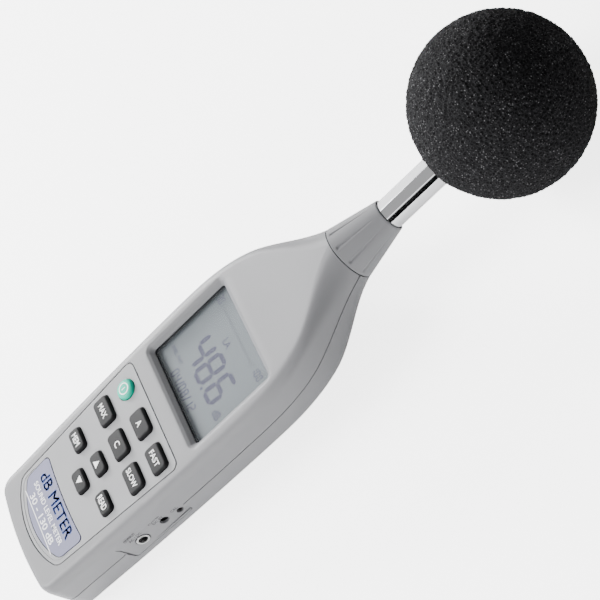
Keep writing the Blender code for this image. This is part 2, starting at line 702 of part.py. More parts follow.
def make_side_sockets():
    low_x, face_x = 23.6 * MM, 30.3 * MM
    for name, at, bore in (("jack_socket", JACK_AT, 1.8 * MM), ("power_socket", POWER_AT, 1.8 * MM)):
        low = (low_x, at[0] - 3.4 * MM, at[1] - 2.9 * MM)
        socket = add(name, box(low, (face_x, at[0] + 3.4 * MM, BOARD_Z[0] - GAP)), BLACK_PLASTIC)
        boolean(socket, "DIFFERENCE", add(name + "_bore", side_cylinder(bore, 25 * MM, 33 * MM, at, 16)))
    place = (0.0, *JACK_AT)
    tube("jack_ring", *JACK_RING, face_x + GAP, SIDE_X + 0.35 * MM, STEEL, place, ALONG_X, 24)

    y, z = TRIMMER_AT
    block = box((24.4 * MM, y - 3 * MM, z - 3 * MM), (28.4 * MM, y + 3 * MM, z + 3 * MM))
    body = add("trimmer_body", block, BLACK_PLASTIC)
    pocket = side_cylinder(1.6 * MM, 26 * MM, 31 * MM, TRIMMER_AT, 16)
    boolean(body, "DIFFERENCE", add("trimmer_pocket", pocket))
    rotor = cylinder(1.25 * MM, 26.3 * MM, face_x, sides=16)
    rotor = add("trimmer_rotor", rotor, BRASS, (0.0, y, z), ALONG_X)
    slot = box((-0.25 * MM, -3 * MM, face_x - 0.8 * MM), (0.25 * MM, 3 * MM, face_x + MM))
    boolean(rotor, "DIFFERENCE", add("rotor_slot", slot, location=(0.0, y, z), rotation=ALONG_X))


def helix_wire(name, radius, wire, low, high, turns, location):
    """A coil spring along +Y."""
    curve = bpy.data.curves.new(name, "CURVE")
    curve.dimensions = "3D"
    curve.bevel_depth = wire
    curve.bevel_resolution = 2
    curve.use_fill_caps = True
    curve.materials.append(STEEL)
    spline = curve.splines.new("POLY")
    count = 9 * turns
    spline.points.add(count)
    for index, point in enumerate(spline.points):
        turn = tau * turns * index / count
        along = mix(low + wire, high - wire, index / count)
        point.co = (radius * cos(turn), along, radius * sin(turn), 1.0)
    obj = bpy.data.objects.new(name, curve)
    obj.location = location
    PARTS.objects.link(obj)


def make_battery_bay():
    low = (-BAY_HALF - BAY_WALL, BAY_Y[0] - BAY_WALL, BAY_Z[0])
    high = (BAY_HALF + BAY_WALL, BAY_Y[1] + BAY_WALL, BAY_Z[1] + BAY_WALL)
    holder = add("battery_holder", box(low, high, 0.8 * MM, 2), CASE_GREY)
    room = box((-BAY_HALF, BAY_Y[0], 0.0), (BAY_HALF, BAY_Y[1], BAY_Z[1]))
    boolean(holder, "DIFFERENCE", add("battery_room", room))

    tail_plate = BAY_Y[0] + GAP
    head_plate = BAY_Y[1] - GAP - CONTACT_THICK
    for index in range(4):
        x = (index - 1.5) * CELL_PITCH
        spring_at_tail = index % 2 == 0
        if spring_at_tail:
            spring_low = tail_plate + CONTACT_THICK + GAP
            cell_low = spring_low + SPRING_LENGTH + GAP
        else:
            spring_low = head_plate - GAP - SPRING_LENGTH
            cell_low = tail_plate + CONTACT_THICK + GAP
        helix_wire(f"battery_spring_{index + 1}", SPRING_RADIUS, SPRING_WIRE, spring_low,
                   spring_low + SPRING_LENGTH, 3, (x, 0.0, CELL_Z))
        nub, body = CELL_LENGTH / 2, CELL_LENGTH / 2 - 1.0 * MM
        profile = (
            (0.0, nub), (1.9 * MM, nub), (1.9 * MM, body), (CELL_RADIUS - 0.4 * MM, body),
            (CELL_RADIUS, body - 0.4 * MM), (CELL_RADIUS, -nub + 0.3 * MM),
            (CELL_RADIUS - 0.3 * MM, -nub), (0.0, -nub),
        )
        turn = (-pi / 2 if spring_at_tail else pi / 2, 0.0, 0.0)
        turned(f"battery_{index + 1}", profile, CELL_JACKET, (x, cell_low + nub, CELL_Z), turn, 20)

    outer, inner = 20.8 * MM, 1.0 * MM
    plates = (
        ("contact_tail_left", -outer, -inner, tail_plate),
        ("contact_tail_right", inner, outer, tail_plate),
        ("contact_head_left", -outer, -11.6 * MM, head_plate),
        ("contact_head_middle", -10.2 * MM, 10.2 * MM, head_plate),
        ("contact_head_right", 11.6 * MM, outer, head_plate),
    )
    for name, low_x, high_x, y in plates:
        add(name, box((low_x, y, CELL_Z - 4 * MM), (high_x, y + CONTACT_THICK, CELL_Z + 4 * MM)), STEEL)


def make_fasteners():
    for index, (x, y) in enumerate(SCREWS):
        seat = SCREW_SEAT_Z - GAP
        profile = (
            (0.0, SCREW_END_Z), (SCREW_SHANK, SCREW_END_Z - 1.2 * MM), (SCREW_SHANK, seat),
            (SCREW_HEAD, seat), (SCREW_HEAD, seat - 1.2 * MM), (SCREW_HEAD - 0.8 * MM, seat - 1.9 * MM),
            (0.0, seat - 1.9 * MM),
        )
        screw = turned(f"case_screw_{index + 1}", profile, STEEL, (x, y, 0.0), steps=20)
        cross = Matrix.Translation((x, y, 0.0))
        tool = box((-0.35 * MM, -1.6 * MM, 0.0), (0.35 * MM, 1.6 * MM, seat - 0.9 * MM))
        tool.transform(cross)
        bar = box((-1.6 * MM, -0.35 * MM, 0.0), (1.6 * MM, 0.35 * MM, seat - 0.9 * MM))
        bar.transform(cross)
        boolean(screw, "DIFFERENCE", add(f"cross_upright_{index + 1}", tool))
        boolean(screw, "DIFFERENCE", add(f"cross_bar_{index + 1}", bar))
    tube("tripod_bush", BUSH_HOLE, BUSH_RADIUS, 0.05 * MM, BUSH_TOP_Z, BRASS, (0.0, BUSH_Y, 0.0), steps=24)


# ---------------------------------------------------------------- microphone


def make_microphone():
    place = (0.0, 0.0, AXIS_Z)
    bore = TUBE_RADIUS - TUBE_WALL
    tube("mic_tube", bore, TUBE_RADIUS, *TUBE_Y, CHROME, place, ALONG_Y, 40)

    nut = cylinder(9.8 * MM, TUBE_Y[0] + 1.5 * MM, TUBE_Y[0] + 6.0 * MM, sides=6)
    nut.transform(Matrix.Rotation(pi / 6, 4, "Z"))
    nut = add("tube_nut", nut, BRASS, place, ALONG_Y)
    nut_bore = cylinder(TUBE_RADIUS + GAP, 60 * MM, 90 * MM, sides=24)
    boolean(nut, "DIFFERENCE", add("nut_bore", nut_bore, location=place, rotation=ALONG_Y))

    board = box((-4.2 * MM, 84 * MM, AXIS_Z - 0.4 * MM), (4.2 * MM, 154 * MM, AXIS_Z + 0.4 * MM))
    add("preamp_board", board, BOARD_GREEN)
    insulator = ((0.0, 159.7 * MM), (bore - GAP, 159.7 * MM), (bore - GAP, 155.5 * MM), (0.0, 155.5 * MM))
    turned("mic_insulator", insulator, BLACK_PLASTIC, place, ALONG_Y, 24)

    low, end = TUBE_Y[1] + GAP, CAPSULE_END_Y
    capsule = (
        (0.0, end - 1.0 * MM), (5.4 * MM, end - 1.0 * MM), (5.4 * MM, end), (TUBE_RADIUS, end),
        (TUBE_RADIUS, low + 3.2 * MM), (TUBE_RADIUS - 0.4 * MM, low + 3.0 * MM),
        (TUBE_RADIUS - 0.4 * MM, low + 2.4 * MM), (TUBE_RADIUS, low + 2.2 * MM), (TUBE_RADIUS, low),
        (0.0, low),
    )
    turned("mic_capsule", capsule, CHROME, place, ALONG_Y, 32)

    low, end, wall = CAPSULE_END_Y + GAP, GRID_END_Y, 0.6 * MM
    grid_profile = (
        (0.0, end), (TUBE_RADIUS - 0.6 * MM, end), (TUBE_RADIUS, end - 0.5 * MM), (TUBE_RADIUS, low),
        (TUBE_RADIUS - wall, low), (TUBE_RADIUS - wall, end - 0.8 * MM), (0.0, end - 0.8 * MM),
    )
    grid = turned("mic_grid", grid_profile, CHROME, place, ALONG_Y, 32)
    slots = bmesh.new()
    for index in range(8):
        slot = box((1.4 * MM, -0.4 * MM, end - 2 * MM), (4.6 * MM, 0.4 * MM, end + MM))
        slot.transform(Matrix.Rotation(tau * (index + 0.5) / 8, 4, "Z"))
        mesh = bpy.data.meshes.new("slot")
        slot.to_mesh(mesh)
        slot.free()
        slots.from_mesh(mesh)
        bpy.data.meshes.remove(mesh)
    boolean(grid, "DIFFERENCE", add("grid_slots", slots, location=place, rotation=ALONG_Y))

    steps = 18
    turns = [pi * step / steps for step in range(1, steps)]
    profile = [(SCREEN_RADIUS * sin(turn), SCREEN_RADIUS * cos(turn)) for turn in turns]
    profile = [(0.0, SCREEN_RADIUS), *profile, (0.0, -SCREEN_RADIUS)]
    screen = turned("windscreen", profile, FOAM, (SCREEN_SIDE, SCREEN_Y, AXIS_Z), ALONG_Y, 36)
    bore = cylinder(SCREEN_BORE, 120 * MM, SCREEN_END_Y, sides=24)
    boolean(screen, "DIFFERENCE", add("screen_bore", bore, location=place, rotation=ALONG_Y))


def make_mic_lead():
    """The lead from the microphone's board, through the nut, to the main board's edge."""
    points = [Vector(point) * MM for point in LEAD_ROUTE]
    curve = bpy.data.curves.new("mic_lead", "CURVE")
    curve.dimensions = "3D"
    curve.bevel_depth = 1.1 * MM
    curve.bevel_resolution = 2
    curve.use_fill_caps = True
    curve.materials.append(RUBBER)
    smooth = []
    for index in range(len(points) - 1):
        before, start = points[max(index - 1, 0)], points[index]
        end, after = points[index + 1], points[min(index + 2, len(points) - 1)]
        for step in range(3):
            t = step / 3
            pull, push = (end - before) / 2, (after - start) / 2
            smooth.append(
                start * (2 * t**3 - 3 * t**2 + 1) + end * (3 * t**2 - 2 * t**3)
                + pull * (t**3 - 2 * t**2 + t) + push * (t**3 - t**2)
            )
    smooth.append(points[-1])
    spline = curve.splines.new("POLY")
    spline.points.add(len(smooth) - 1)
    for point, place in zip(spline.points, smooth):
        point.co = (*place, 1.0)
    PARTS.objects.link(bpy.data.objects.new("mic_lead", curve))


make_front_case()
make_rear_case()
make_battery_cover()
make_neck_cone()
make_panel()
make_keys()
make_display()
make_boards()
make_side_sockets()
make_battery_bay()
make_fasteners()
make_microphone()
make_mic_lead()
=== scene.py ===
"""Looks for a handheld sound level meter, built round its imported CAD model.

The meter lies on its back: +Z out of the front face, +Y towards the microphone, +X to the right.
The origin is on the flat of the back. Sizes are in metres, mostly written as millimetres times MM.
"""

from math import atan2, cos, floor, pi, radians, sin, sqrt, tau

import bmesh
import bpy
from bpy.props import FloatProperty, FloatVectorProperty, IntProperty, PointerProperty, StringProperty
from mathutils import Matrix, Vector, noise


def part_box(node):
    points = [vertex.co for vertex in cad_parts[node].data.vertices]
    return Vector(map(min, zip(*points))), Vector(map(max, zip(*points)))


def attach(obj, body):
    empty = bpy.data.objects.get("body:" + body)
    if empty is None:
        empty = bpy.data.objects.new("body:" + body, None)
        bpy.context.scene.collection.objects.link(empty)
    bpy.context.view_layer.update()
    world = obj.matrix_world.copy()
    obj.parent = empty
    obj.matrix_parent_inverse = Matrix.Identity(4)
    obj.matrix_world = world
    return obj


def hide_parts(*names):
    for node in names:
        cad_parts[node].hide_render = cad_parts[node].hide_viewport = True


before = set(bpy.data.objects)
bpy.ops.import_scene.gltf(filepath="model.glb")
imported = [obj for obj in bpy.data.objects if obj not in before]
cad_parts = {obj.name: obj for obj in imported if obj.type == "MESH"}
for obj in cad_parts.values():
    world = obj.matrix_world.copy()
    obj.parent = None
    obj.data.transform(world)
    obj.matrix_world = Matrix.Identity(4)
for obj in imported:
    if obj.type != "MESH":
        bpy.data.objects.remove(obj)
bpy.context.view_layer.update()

bl_info = {
    "name": "Sound Level Meter",
    "version": (1, 0, 0),
    "blender": (4, 5, 0),
    "location": "View3D > Sidebar > Sound Meter",
    "description": "Builds the looks of a handheld sound level meter round its CAD frame",
    "category": "Add Mesh",
}

BODY = "meter"
MM = 0.001
GAP = 0.3 * MM  # between pieces that touch
MERGE = 0.001 * MM  # points nearer than this are one
THIN = 0.03 * MM  # printed ink

# Case
FRONT_Z = 27.5 * MM
BACK_Z = 0.0
PARTING_Z = 14.5 * MM
WALL = 2.0 * MM
TAIL_Y = -100.5 * MM
NECK_Y = 86.5 * MM
NECK_RADIUS = 12.0 * MM
CLOSING_Y = 45 * MM  # where the front and the parting line begin to turn to the neck
BACK_CLOSING_Y = 52 * MM
ROUNDING_Y = 55 * MM  # where the sections begin to turn round
TAIL_BOW = 2.6 * MM
TAIL_BOW_LENGTH = 35 * MM
TAIL_CORNER = 7.0 * MM
TAIL_EDGE = 4.0 * MM
SIDE_DRAFT = 0.6 * MM
# Distance along the case and half width at the parting line, from the end to the neck, in millimetres.
CASE_PLAN = (
    (-100.5, 30.9), (-85.0, 31.4), (-60.0, 32.5), (-30.0, 33.5), (0.0, 34.1), (22.0, 34.2), (31.0, 33.8),
    (39.0, 32.8), (47.0, 31.0), (55.0, 28.0), (64.0, 23.3), (73.0, 18.3), (80.0, 14.8), (86.5, 12.0),
)
BEYOND_X = 45 * MM  # past the case's sides and ends, for cutters
BEYOND_Y = (-120 * MM, 100 * MM)
FLAT_STEPS = 9  # across half the front or back of a section
ARC_STEPS = 10  # round each of its edges
TAIL_STEPS = 9
LENGTH_STEPS = 62

# Microphone
AXIS_Z = 16.3 * MM
CONE_END_Y = 109.0 * MM
CONE_END_RADIUS = 7.2 * MM
SPIGOT_Y = 78.0 * MM
SPIGOT_RADIUS = 9.4 * MM
FLUTE_WIDTH = (0.95 * MM, 0.30 * MM)  # at the case and at the tube
TUBE_RADIUS = 6.4 * MM
TUBE_WALL = 0.7 * MM
TUBE_Y = (70.0 * MM, 160.0 * MM)
CAPSULE_END_Y = 171.0 * MM
GRID_END_Y = 176.0 * MM
SCREEN_BORE = 7.0 * MM
SCREEN_Y = 170.0 * MM
SCREEN_END_Y = 178.0 * MM
SCREEN_SIDE = -1.6 * MM  # the hand-cut foam sits a little to one side of its bore

# Display
WINDOW_HALF = 26.3 * MM
WINDOW_Y = (-6.4 * MM, 38.8 * MM)
WINDOW_DEPTH = 2.6 * MM
WINDOW_SLOPE = 1.7 * MM
WINDOW_CORNERS = (1.4 * MM, 2.6 * MM, 4.0 * MM)  # at the foot, at the edge and above the front face
# How the rim rolls over: outwards and up from the edge, in millimetres.
WINDOW_RIM = (
    (-0.40, -0.86), (-0.22, -0.72), (0.0, -0.60), (0.60, -0.24), (0.80, -0.13), (1.0, -0.05), (1.25, 0.0),
)
WINDOW_FRAME = ((-28.2 * MM, -9.0 * MM, 23.9 * MM), (28.2 * MM, 41.2 * MM, 26.0 * MM))  # inside the case
LENS_HALF = 26.2 * MM
LENS_Y = (-6.2 * MM, 38.9 * MM)

# Keypad panel
PANEL_TOP_Y = -15.0 * MM
PANEL_END_Y = -92.4 * MM
PANEL_HALF_TOP = 27.9 * MM
PANEL_TAPER = 0.068
PANEL_END_RADIUS = 42.0 * MM
PANEL_CORNER = 3.0 * MM
PANEL_THICK = 0.45 * MM
PANEL_SEAT_Z = FRONT_Z - PANEL_THICK - GAP
KEYPAD_LOW_Y = -65.5 * MM
LABEL_TOP_Y = -69.3 * MM
LABEL_MARGIN = 2.4 * MM
LABEL_END_MARGIN = 3.4 * MM

# Keys: node, centre x and y, width and height in millimetres, legend, legend width and height
KEYS = (
    ("key_a", 0.0, -22.4, 12.4, 7.9, "A", 2.5, 2.9),
    ("key_fast", 18.3, -22.4, 12.4, 7.9, "FAST", 7.7, 2.6),
    ("key_max", -17.6, -35.6, 12.4, 7.9, "MAX", 6.7, 2.6),
    ("key_c", 0.0, -35.6, 12.4, 7.9, "C", 2.6, 2.9),
    ("key_slow", 17.6, -35.6, 12.4, 7.9, "SLOW", 9.0, 2.6),
    ("key_up", 0.0, -47.9, 10.4, 6.2, "up", 3.5, 3.0),
    ("key_mem", -16.5, -52.8, 10.4, 6.2, "MEM", 5.9, 2.8),
    ("key_read", 16.5, -52.8, 10.4, 6.2, "READ", 6.7, 2.8),
    ("key_down", 0.0, -59.2, 10.4, 6.2, "down", 3.5, 3.0),
)
POWER_KEY_AT = (-18.3 * MM, -22.4 * MM)
POWER_KEY_RADIUS = 4.2 * MM
KEY_TOP_Z = 29.1 * MM
KEY_FLANGE_Z = (25.3 * MM, 26.5 * MM)
KEY_FLANGE_RIM = 0.7 * MM
KEY_STEM_Z = 22.3 * MM
KEY_CORNER = 1.7 * MM
KEY_CLEARANCE = 0.35 * MM

# Side sockets: y and z of their centres
SIDE_X = 32.4 * MM
JACK_AT = (-51.5 * MM, 14.3 * MM)
JACK_RING = (2.0 * MM, 2.9 * MM)
POWER_AT = (-39.0 * MM, 13.8 * MM)
POWER_HOLE = 2.0 * MM
TRIMMER_AT = (-31.8 * MM, 11.8 * MM)
TRIMMER_HOLE = 1.5 * MM
TONGUE_Y = (-61.0 * MM, -28.5 * MM)
TONGUE_Z = (8.0 * MM, 17.0 * MM)
TONGUE_ROOT_X = 24 * MM
TONGUE_RECESS_Z = (8.9 * MM, 19.5 * MM)
# The hooked groove at the tongue's lower end, in y and z, in millimetres.
TONGUE_GROOVE = (
    (-61.9, 20.4), (-61.3, 20.6), (-60.55, 18.0), (-60.3, 14.0), (-60.3, 9.0), (-60.9, 9.0), (-61.1, 17.5),
)

# Back
COVER_HALF = 22.2 * MM
COVER_HEAD_Y = -40.0 * MM
COVER_TOP_Z = 5.0 * MM
SCREWS = tuple((x * MM, y * MM) for x, y in ((-20.0, -12.3), (20.0, -12.3), (-12.0, 61.0), (12.0, 61.0)))
SCREW_SEAT_Z = 4.5 * MM
SCREW_HEAD = 2.6 * MM
SCREW_SHANK = 1.4 * MM
SCREW_END_Z = 22.0 * MM
POST_RADIUS = 3.9 * MM
FRONT_POST_RADIUS = 2.7 * MM
FRONT_POST_FOOT_Z = (18.6 * MM, PARTING_Z + 1.2 * MM)  # of the two by the keypad and the two by the neck
FRONT_POST_TOP_Z = 26.1 * MM
PILOT_TOP_Z = 23.5 * MM
BUSH_Y = 16.0 * MM
BUSH_RADIUS = 4.6 * MM
BUSH_HOLE = 3.1 * MM
BUSH_TOP_Z = 9.0 * MM

# Stage
MIDDLE = (0.0, 35 * MM, 15 * MM)  # where the lights aim
LOOKED_AT = (0.4 * MM, 59.0 * MM, 16.3 * MM)  # where the camera aims
LENS_LENGTH = 150.0
SENSOR_WIDTH = 36.0
FLOOR_GLOW = 3.6  # what the camera sees of the floor beyond the lights' own
SKY_STRENGTH = (0.60, 0.32)  # from the tail's side to the microphone's
CARD_GLOW = 2.6

# Turns something built along +Z to point along +X, and something drawn in x and y to face +X.
ALONG_X = Matrix.Rotation(pi / 2, 4, "Y")
FACING_X = Matrix(((0, 0, 1, 0), (1, 0, 0, 0), (0, 1, 0, 0), (0, 0, 0, 1)))


# ---------------------------------------------------------------- settings


def colour(name, description, default):
    """A colour setting."""
    return FloatVectorProperty(
        name=name, description=description, default=default, subtype="COLOR", size=3, min=0.0, max=1.0
    )


def length(name, description, default):
    """A length setting."""
    return FloatProperty(name=name, description=description, default=default, unit="LENGTH")


def angle(name, description, degrees):
    """An angle setting, with its default in degrees."""
    return FloatProperty(name=name, description=description, default=radians(degrees), subtype="ANGLE")


class CaseSettings(bpy.types.PropertyGroup):
    plastic: colour("Plastic", "Colour of the moulded case", (0.170, 0.171, 0.179))
    front_edge: length("Front edge", "Radius of the case's front edges", 5.0 * MM)
    back_edge: length("Back edge", "Radius of the case's back edges", 7.0 * MM)
    seam: length("Seam", "Rounding of the moulded edges along the parting line", 0.40 * MM)


class KeypadSettings(bpy.types.PropertyGroup):
    panel: colour("Panel", "Colour of the keypad panel", (0.225, 0.227, 0.235))
    keys: colour("Keys", "Colour of the rubber keys", (0.0115, 0.0115, 0.0125))
    power: colour("Power key", "Colour of the power key", (0.006, 0.46, 0.315))
    legend: colour("Legends", "Colour of the printing on the keys", (0.88, 0.88, 0.88))


class LabelSettings(bpy.types.PropertyGroup):
    foil: colour("Foil", "Colour of the label's metallic film", (0.138, 0.140, 0.212))
    title: colour("Title", "Colour of the label's title", (0.018, 0.065, 0.34))
    title_text: StringProperty(name="Title text", description="Words on the label", default="dB METER")


class DisplaySettings(bpy.types.PropertyGroup):
    background: colour("Background", "Colour of the unlit display", (0.168, 0.190, 0.204))
    segments: colour("Segments", "Colour of the display's dark segments", (0.078, 0.078, 0.120))
    reading: StringProperty(name="Reading", description="The large number shown", default="48.6")
    slant: FloatProperty(name="Slant", description="Lean of the digits, sideways per height", default=0.11)


class MicrophoneSettings(bpy.types.PropertyGroup):
    chrome: colour("Chrome", "Colour of the plated tube", (0.80, 0.80, 0.82))
    flutes: IntProperty(name="Flutes", description="Grooves round the neck cone", default=10, min=0)
    flute_depth: length("Flute depth", "Depth of each groove at its wide end", 0.55 * MM)


class WindscreenSettings(bpy.types.PropertyGroup):
    radius: length("Radius", "Radius of the foam ball", 35.0 * MM)
    pore: length("Pore", "Size of the foam's open pores", 1.35 * MM)
    fuzz: length("Fuzz", "Height of the cut foam's rough surface", 0.75 * MM)
    foam: colour("Foam", "Colour of the foam", (0.0045, 0.0045, 0.0050))


class StageSettings(bpy.types.PropertyGroup):
    floor: colour("Floor", "Colour of the floor", (0.92, 0.92, 0.92))
    distance: length("Distance", "From the camera to the middle of the meter", 0.964)
    azimuth: angle("Azimuth", "The camera's bearing round the meter", 121.37)
    elevation: angle("Elevation", "The camera's height above the horizon", 46.33)
    roll: angle("Roll", "The camera's turn about its own line of sight", 67.2)


SETTINGS = {
    "meter_case": CaseSettings,
    "meter_keypad": KeypadSettings,
    "meter_label": LabelSettings,
    "meter_display": DisplaySettings,
    "meter_microphone": MicrophoneSettings,
    "meter_windscreen": WindscreenSettings,
    "meter_stage": StageSettings,
}


# ---------------------------------------------------------------- numbers and outlines


def mix(a, b, t):
    """The value a share t of the way from a to b."""
    return a + (b - a) * t


def ease(value, start, end):
    """0 before start, 1 after end and a smooth rise between."""
    t = min(max((value - start) / (end - start), 0.0), 1.0)
    return t * t * (3.0 - 2.0 * t)


def rounded(corners, steps=8):
    """An outline from (x, y, radius) corners, each rounded by an arc of its radius."""
    outline = []
    count = len(corners)
    for index, (x, y, radius) in enumerate(corners):
        corner = Vector((x, y))
        if not radius:
            outline.append(tuple(corner))
            continue
        before = (Vector(corners[index - 1][:2]) - corner).normalized()
        after = (Vector(corners[(index + 1) % count][:2]) - corner).normalized()
        half = before.angle(after) / 2
        centre = corner + (before + after).normalized() * radius / sin(half)
        start = corner + before * radius * cos(half) / sin(half) - centre
        end = corner + after * radius * cos(half) / sin(half) - centre
        turn = start.angle_signed(end)
        for step in range(steps + 1):
            outline.append(tuple(centre + Matrix.Rotation(-turn * step / steps, 2) @ start))
    return outline


def rectangle(half, low_y, high_y, corner, steps=8):
    """A rectangle's outline, centred across x, with rounded corners."""
    corners = ((half, high_y), (half, low_y), (-half, low_y), (-half, high_y))
    return rounded([(x, y, corner) for x, y in corners], steps)


def moved(outline, x, y):
    """An outline shifted by x and y."""
    return [(px + x, py + y) for px, py in outline]


# ---------------------------------------------------------------- bmesh shapes


def box(low, high, edge=0.0, along=None, steps=4):
    """A box between two corners. edge rounds the edges that run along one axis, or all of them."""
    bm = bmesh.new()
    low, high = Vector(low), Vector(high)
    place = Matrix.Translation((low + high) / 2) @ Matrix.Diagonal((*(high - low), 1.0))
    bmesh.ops.create_cube(bm, size=1.0, matrix=place)
    if edge:
        edges = bm.edges[:]
        if along is not None:
            edges = [e for e in edges if abs((e.verts[0].co - e.verts[1].co).normalized()[along]) > 0.99]
        bmesh.ops.bevel(
            bm, geom=edges, offset=edge, segments=steps, affect="EDGES", profile=0.5, material=-1
        )
    return bm


def cylinder(radius, low, high, place, sides=40):
    """A cylinder along +Z from low to high, put in place by a matrix."""
    bm = bmesh.new()
    middle = place @ Matrix.Translation((0.0, 0.0, (low + high) / 2))
    bmesh.ops.create_cone(
        bm, cap_ends=True, segments=sides, radius1=radius, radius2=radius, depth=high - low, matrix=middle
    )
    return bm


def stack(levels):
    """A solid through outlines of equal length at rising heights, (outline, z) pairs."""
    bm = bmesh.new()
    rings = []
    for outline, z in levels:
        points = [bm.verts.new((x, y, z)) for x, y in outline]
        rings.append([bm.edges.new((points[index - 1], points[index])) for index in range(len(points))])
    faces = []
    for low, high in zip(rings, rings[1:]):
        faces += bmesh.ops.bridge_loops(bm, edges=low + high)["faces"]
    for ring in (rings[0], rings[-1]):
        faces += bmesh.ops.contextual_create(bm, geom=ring)["faces"]
    bmesh.ops.recalc_face_normals(bm, faces=faces)
    return bm


def soft_plate(outline, low, top, edge):
    """A plate with a softened top edge. outline takes how far it is drawn in."""
    return stack(
        (
            (outline(0.0), low),
            (outline(0.0), top - edge),
            (outline(edge * 0.3), top - edge * 0.3),
            (outline(edge), top),
        )
    )


def turned(profile, centre, axis="Y", steps=96, closed=False):
    """A solid turned about a line through centre, from (radius, distance along the axis) points."""
    bm = bmesh.new()
    points = [bm.verts.new((radius, 0.0, height)) for radius, height in profile]
    for start, end in zip(points, points[1:]):
        bm.edges.new((start, end))
    if closed:
        bm.edges.new((points[-1], points[0]))
    bmesh.ops.spin(
        bm, geom=bm.verts[:] + bm.edges[:], cent=(0, 0, 0), axis=(0, 0, 1), dvec=(0, 0, 0),
        angle=tau, steps=steps, use_merge=True, use_duplicate=False,
    )
    bmesh.ops.remove_doubles(bm, verts=bm.verts, dist=MERGE)
    bmesh.ops.recalc_face_normals(bm, faces=bm.faces)
    turn = {"X": ALONG_X, "Y": Matrix.Rotation(-pi / 2, 4, "X"), "Z": Matrix()}[axis]
    bm.transform(Matrix.Translation(centre) @ turn)
    return bm


def joined(bm, other):
    """bm with the other bmesh added to it."""
    mesh = bpy.data.meshes.new("joining")
    other.to_mesh(mesh)
    other.free()
    bm.from_mesh(mesh)
    bpy.data.meshes.remove(mesh)
    return bm


def lettering(words, width, height, weight=0.0, place=Matrix(), bm=None):
    """Words as thin flat letters that fill a box of this width and height, centred in place."""
    curve = bpy.data.curves.new("lettering", "FONT")
    curve.body = words
    curve.offset = weight
    curve.resolution_u = 3
    obj = bpy.data.objects.new("lettering", curve)
    bpy.context.scene.collection.objects.link(obj)
    graph = bpy.context.evaluated_depsgraph_get()
    mesh = bpy.data.meshes.new_from_object(obj.evaluated_get(graph))
    bpy.data.objects.remove(obj)
    bpy.data.curves.remove(curve)
    flat = bmesh.new()
    flat.from_mesh(mesh)
    bpy.data.meshes.remove(mesh)
    low = Vector((min(v.co.x for v in flat.verts), min(v.co.y for v in flat.verts), 0.0))
    high = Vector((max(v.co.x for v in flat.verts), max(v.co.y for v in flat.verts), 0.0))
    size = high - low
    scale = Matrix.Diagonal((width / size.x, height / size.y, 1.0, 1.0))
    flat.transform(scale @ Matrix.Translation(-(low + high) / 2))
    return printed(flat, place, bm)


def printed(flat, place=Matrix(), bm=None):
    """A flat bmesh in the xy plane given the thickness of printing and put in place."""
    bmesh.ops.remove_doubles(flat, verts=flat.verts, dist=MERGE)
    grown = bmesh.ops.extrude_face_region(flat, geom=flat.faces[:])["geom"]
    lifted = [v for v in grown if isinstance(v, bmesh.types.BMVert)]
    bmesh.ops.translate(flat, verts=lifted, vec=(0, 0, THIN))
    bmesh.ops.recalc_face_normals(flat, faces=flat.faces)
    flat.transform(place)
    return joined(bm, flat) if bm else flat


def flat_shape(outline):
    """A flat face from an outline."""
    flat = bmesh.new()
    points = [flat.verts.new((x, y, 0.0)) for x, y in outline]
    flat.faces.new(points)
    return flat


# ---------------------------------------------------------------- objects


def mesh_object(name, bm):
    """A new object with the bmesh as its mesh. The bmesh is freed."""
    mesh = bpy.data.meshes.new(name)
    bm.to_mesh(mesh)
    bm.free()
    obj = bpy.data.objects.new(name, mesh)
    bpy.context.scene.collection.objects.link(obj)
    return obj


def settled(obj):
    """The object with its modifiers applied, and the cutters they used removed."""
    graph = bpy.context.evaluated_depsgraph_get()
    mesh = bpy.data.meshes.new_from_object(obj.evaluated_get(graph))
    tools = [m.object for m in obj.modifiers if m.type == "BOOLEAN"]
    obj.modifiers.clear()
    old = obj.data
    obj.data = mesh
    mesh.name = obj.name
    bpy.data.meshes.remove(old)
    for tool in tools:
        mesh = tool.data
        bpy.data.objects.remove(tool)
        bpy.data.meshes.remove(mesh)
    return obj


def shape_of(obj):
    """The object's mesh as a bmesh. The object is removed."""
    bm = bmesh.new()
    bm.from_mesh(obj.data)
    bpy.data.objects.remove(obj)
    return bm


def boolean(obj, operation, *shapes):
    """Cuts, joins or intersects the object with closed bmesh shapes, in order."""
    for shape in shapes:
        modifier = obj.modifiers.new("cut", "BOOLEAN")
        modifier.operation = operation
        modifier.object = mesh_object("cutter", shape)
    return settled(obj)


def bevelled(obj, chosen, width, segments=2, sharper_than=radians(40)):
    """Rounds the sharp edges whose two ends both pass a test."""
    bm = bmesh.new()
    bm.from_mesh(obj.data)
    edges = [
        e for e in bm.edges
        if e.is_manifold and e.calc_face_angle(0.0) > sharper_than and all(chosen(v.co) for v in e.verts)
    ]
    bmesh.ops.bevel(
        bm, geom=edges, offset=width, segments=segments, affect="EDGES", profile=0.5, material=-1,
        clamp_overlap=False,
    )
    bmesh.ops.remove_doubles(bm, verts=bm.verts, dist=2 * MERGE)
    bm.to_mesh(obj.data)
    bm.free()
    return obj


def piece(obj, finish, body=BODY, nodes=(), slot=None, sharp=35.0, weighted=False):
    """Finishes a new piece: its material, shading, body and the nodes it stands for. Its slot is not used.
    """
    mesh = obj.data
    mesh.materials.clear()
    mesh.materials.append(finish)
    mesh.shade_smooth()
    mesh.set_sharp_from_angle(angle=radians(sharp))
    if weighted:
        normals = obj.modifiers.new("even_normals", "WEIGHTED_NORMAL")
        normals.keep_sharp = True
    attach(obj, body)
    if nodes:
        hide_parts(*nodes)
    return obj


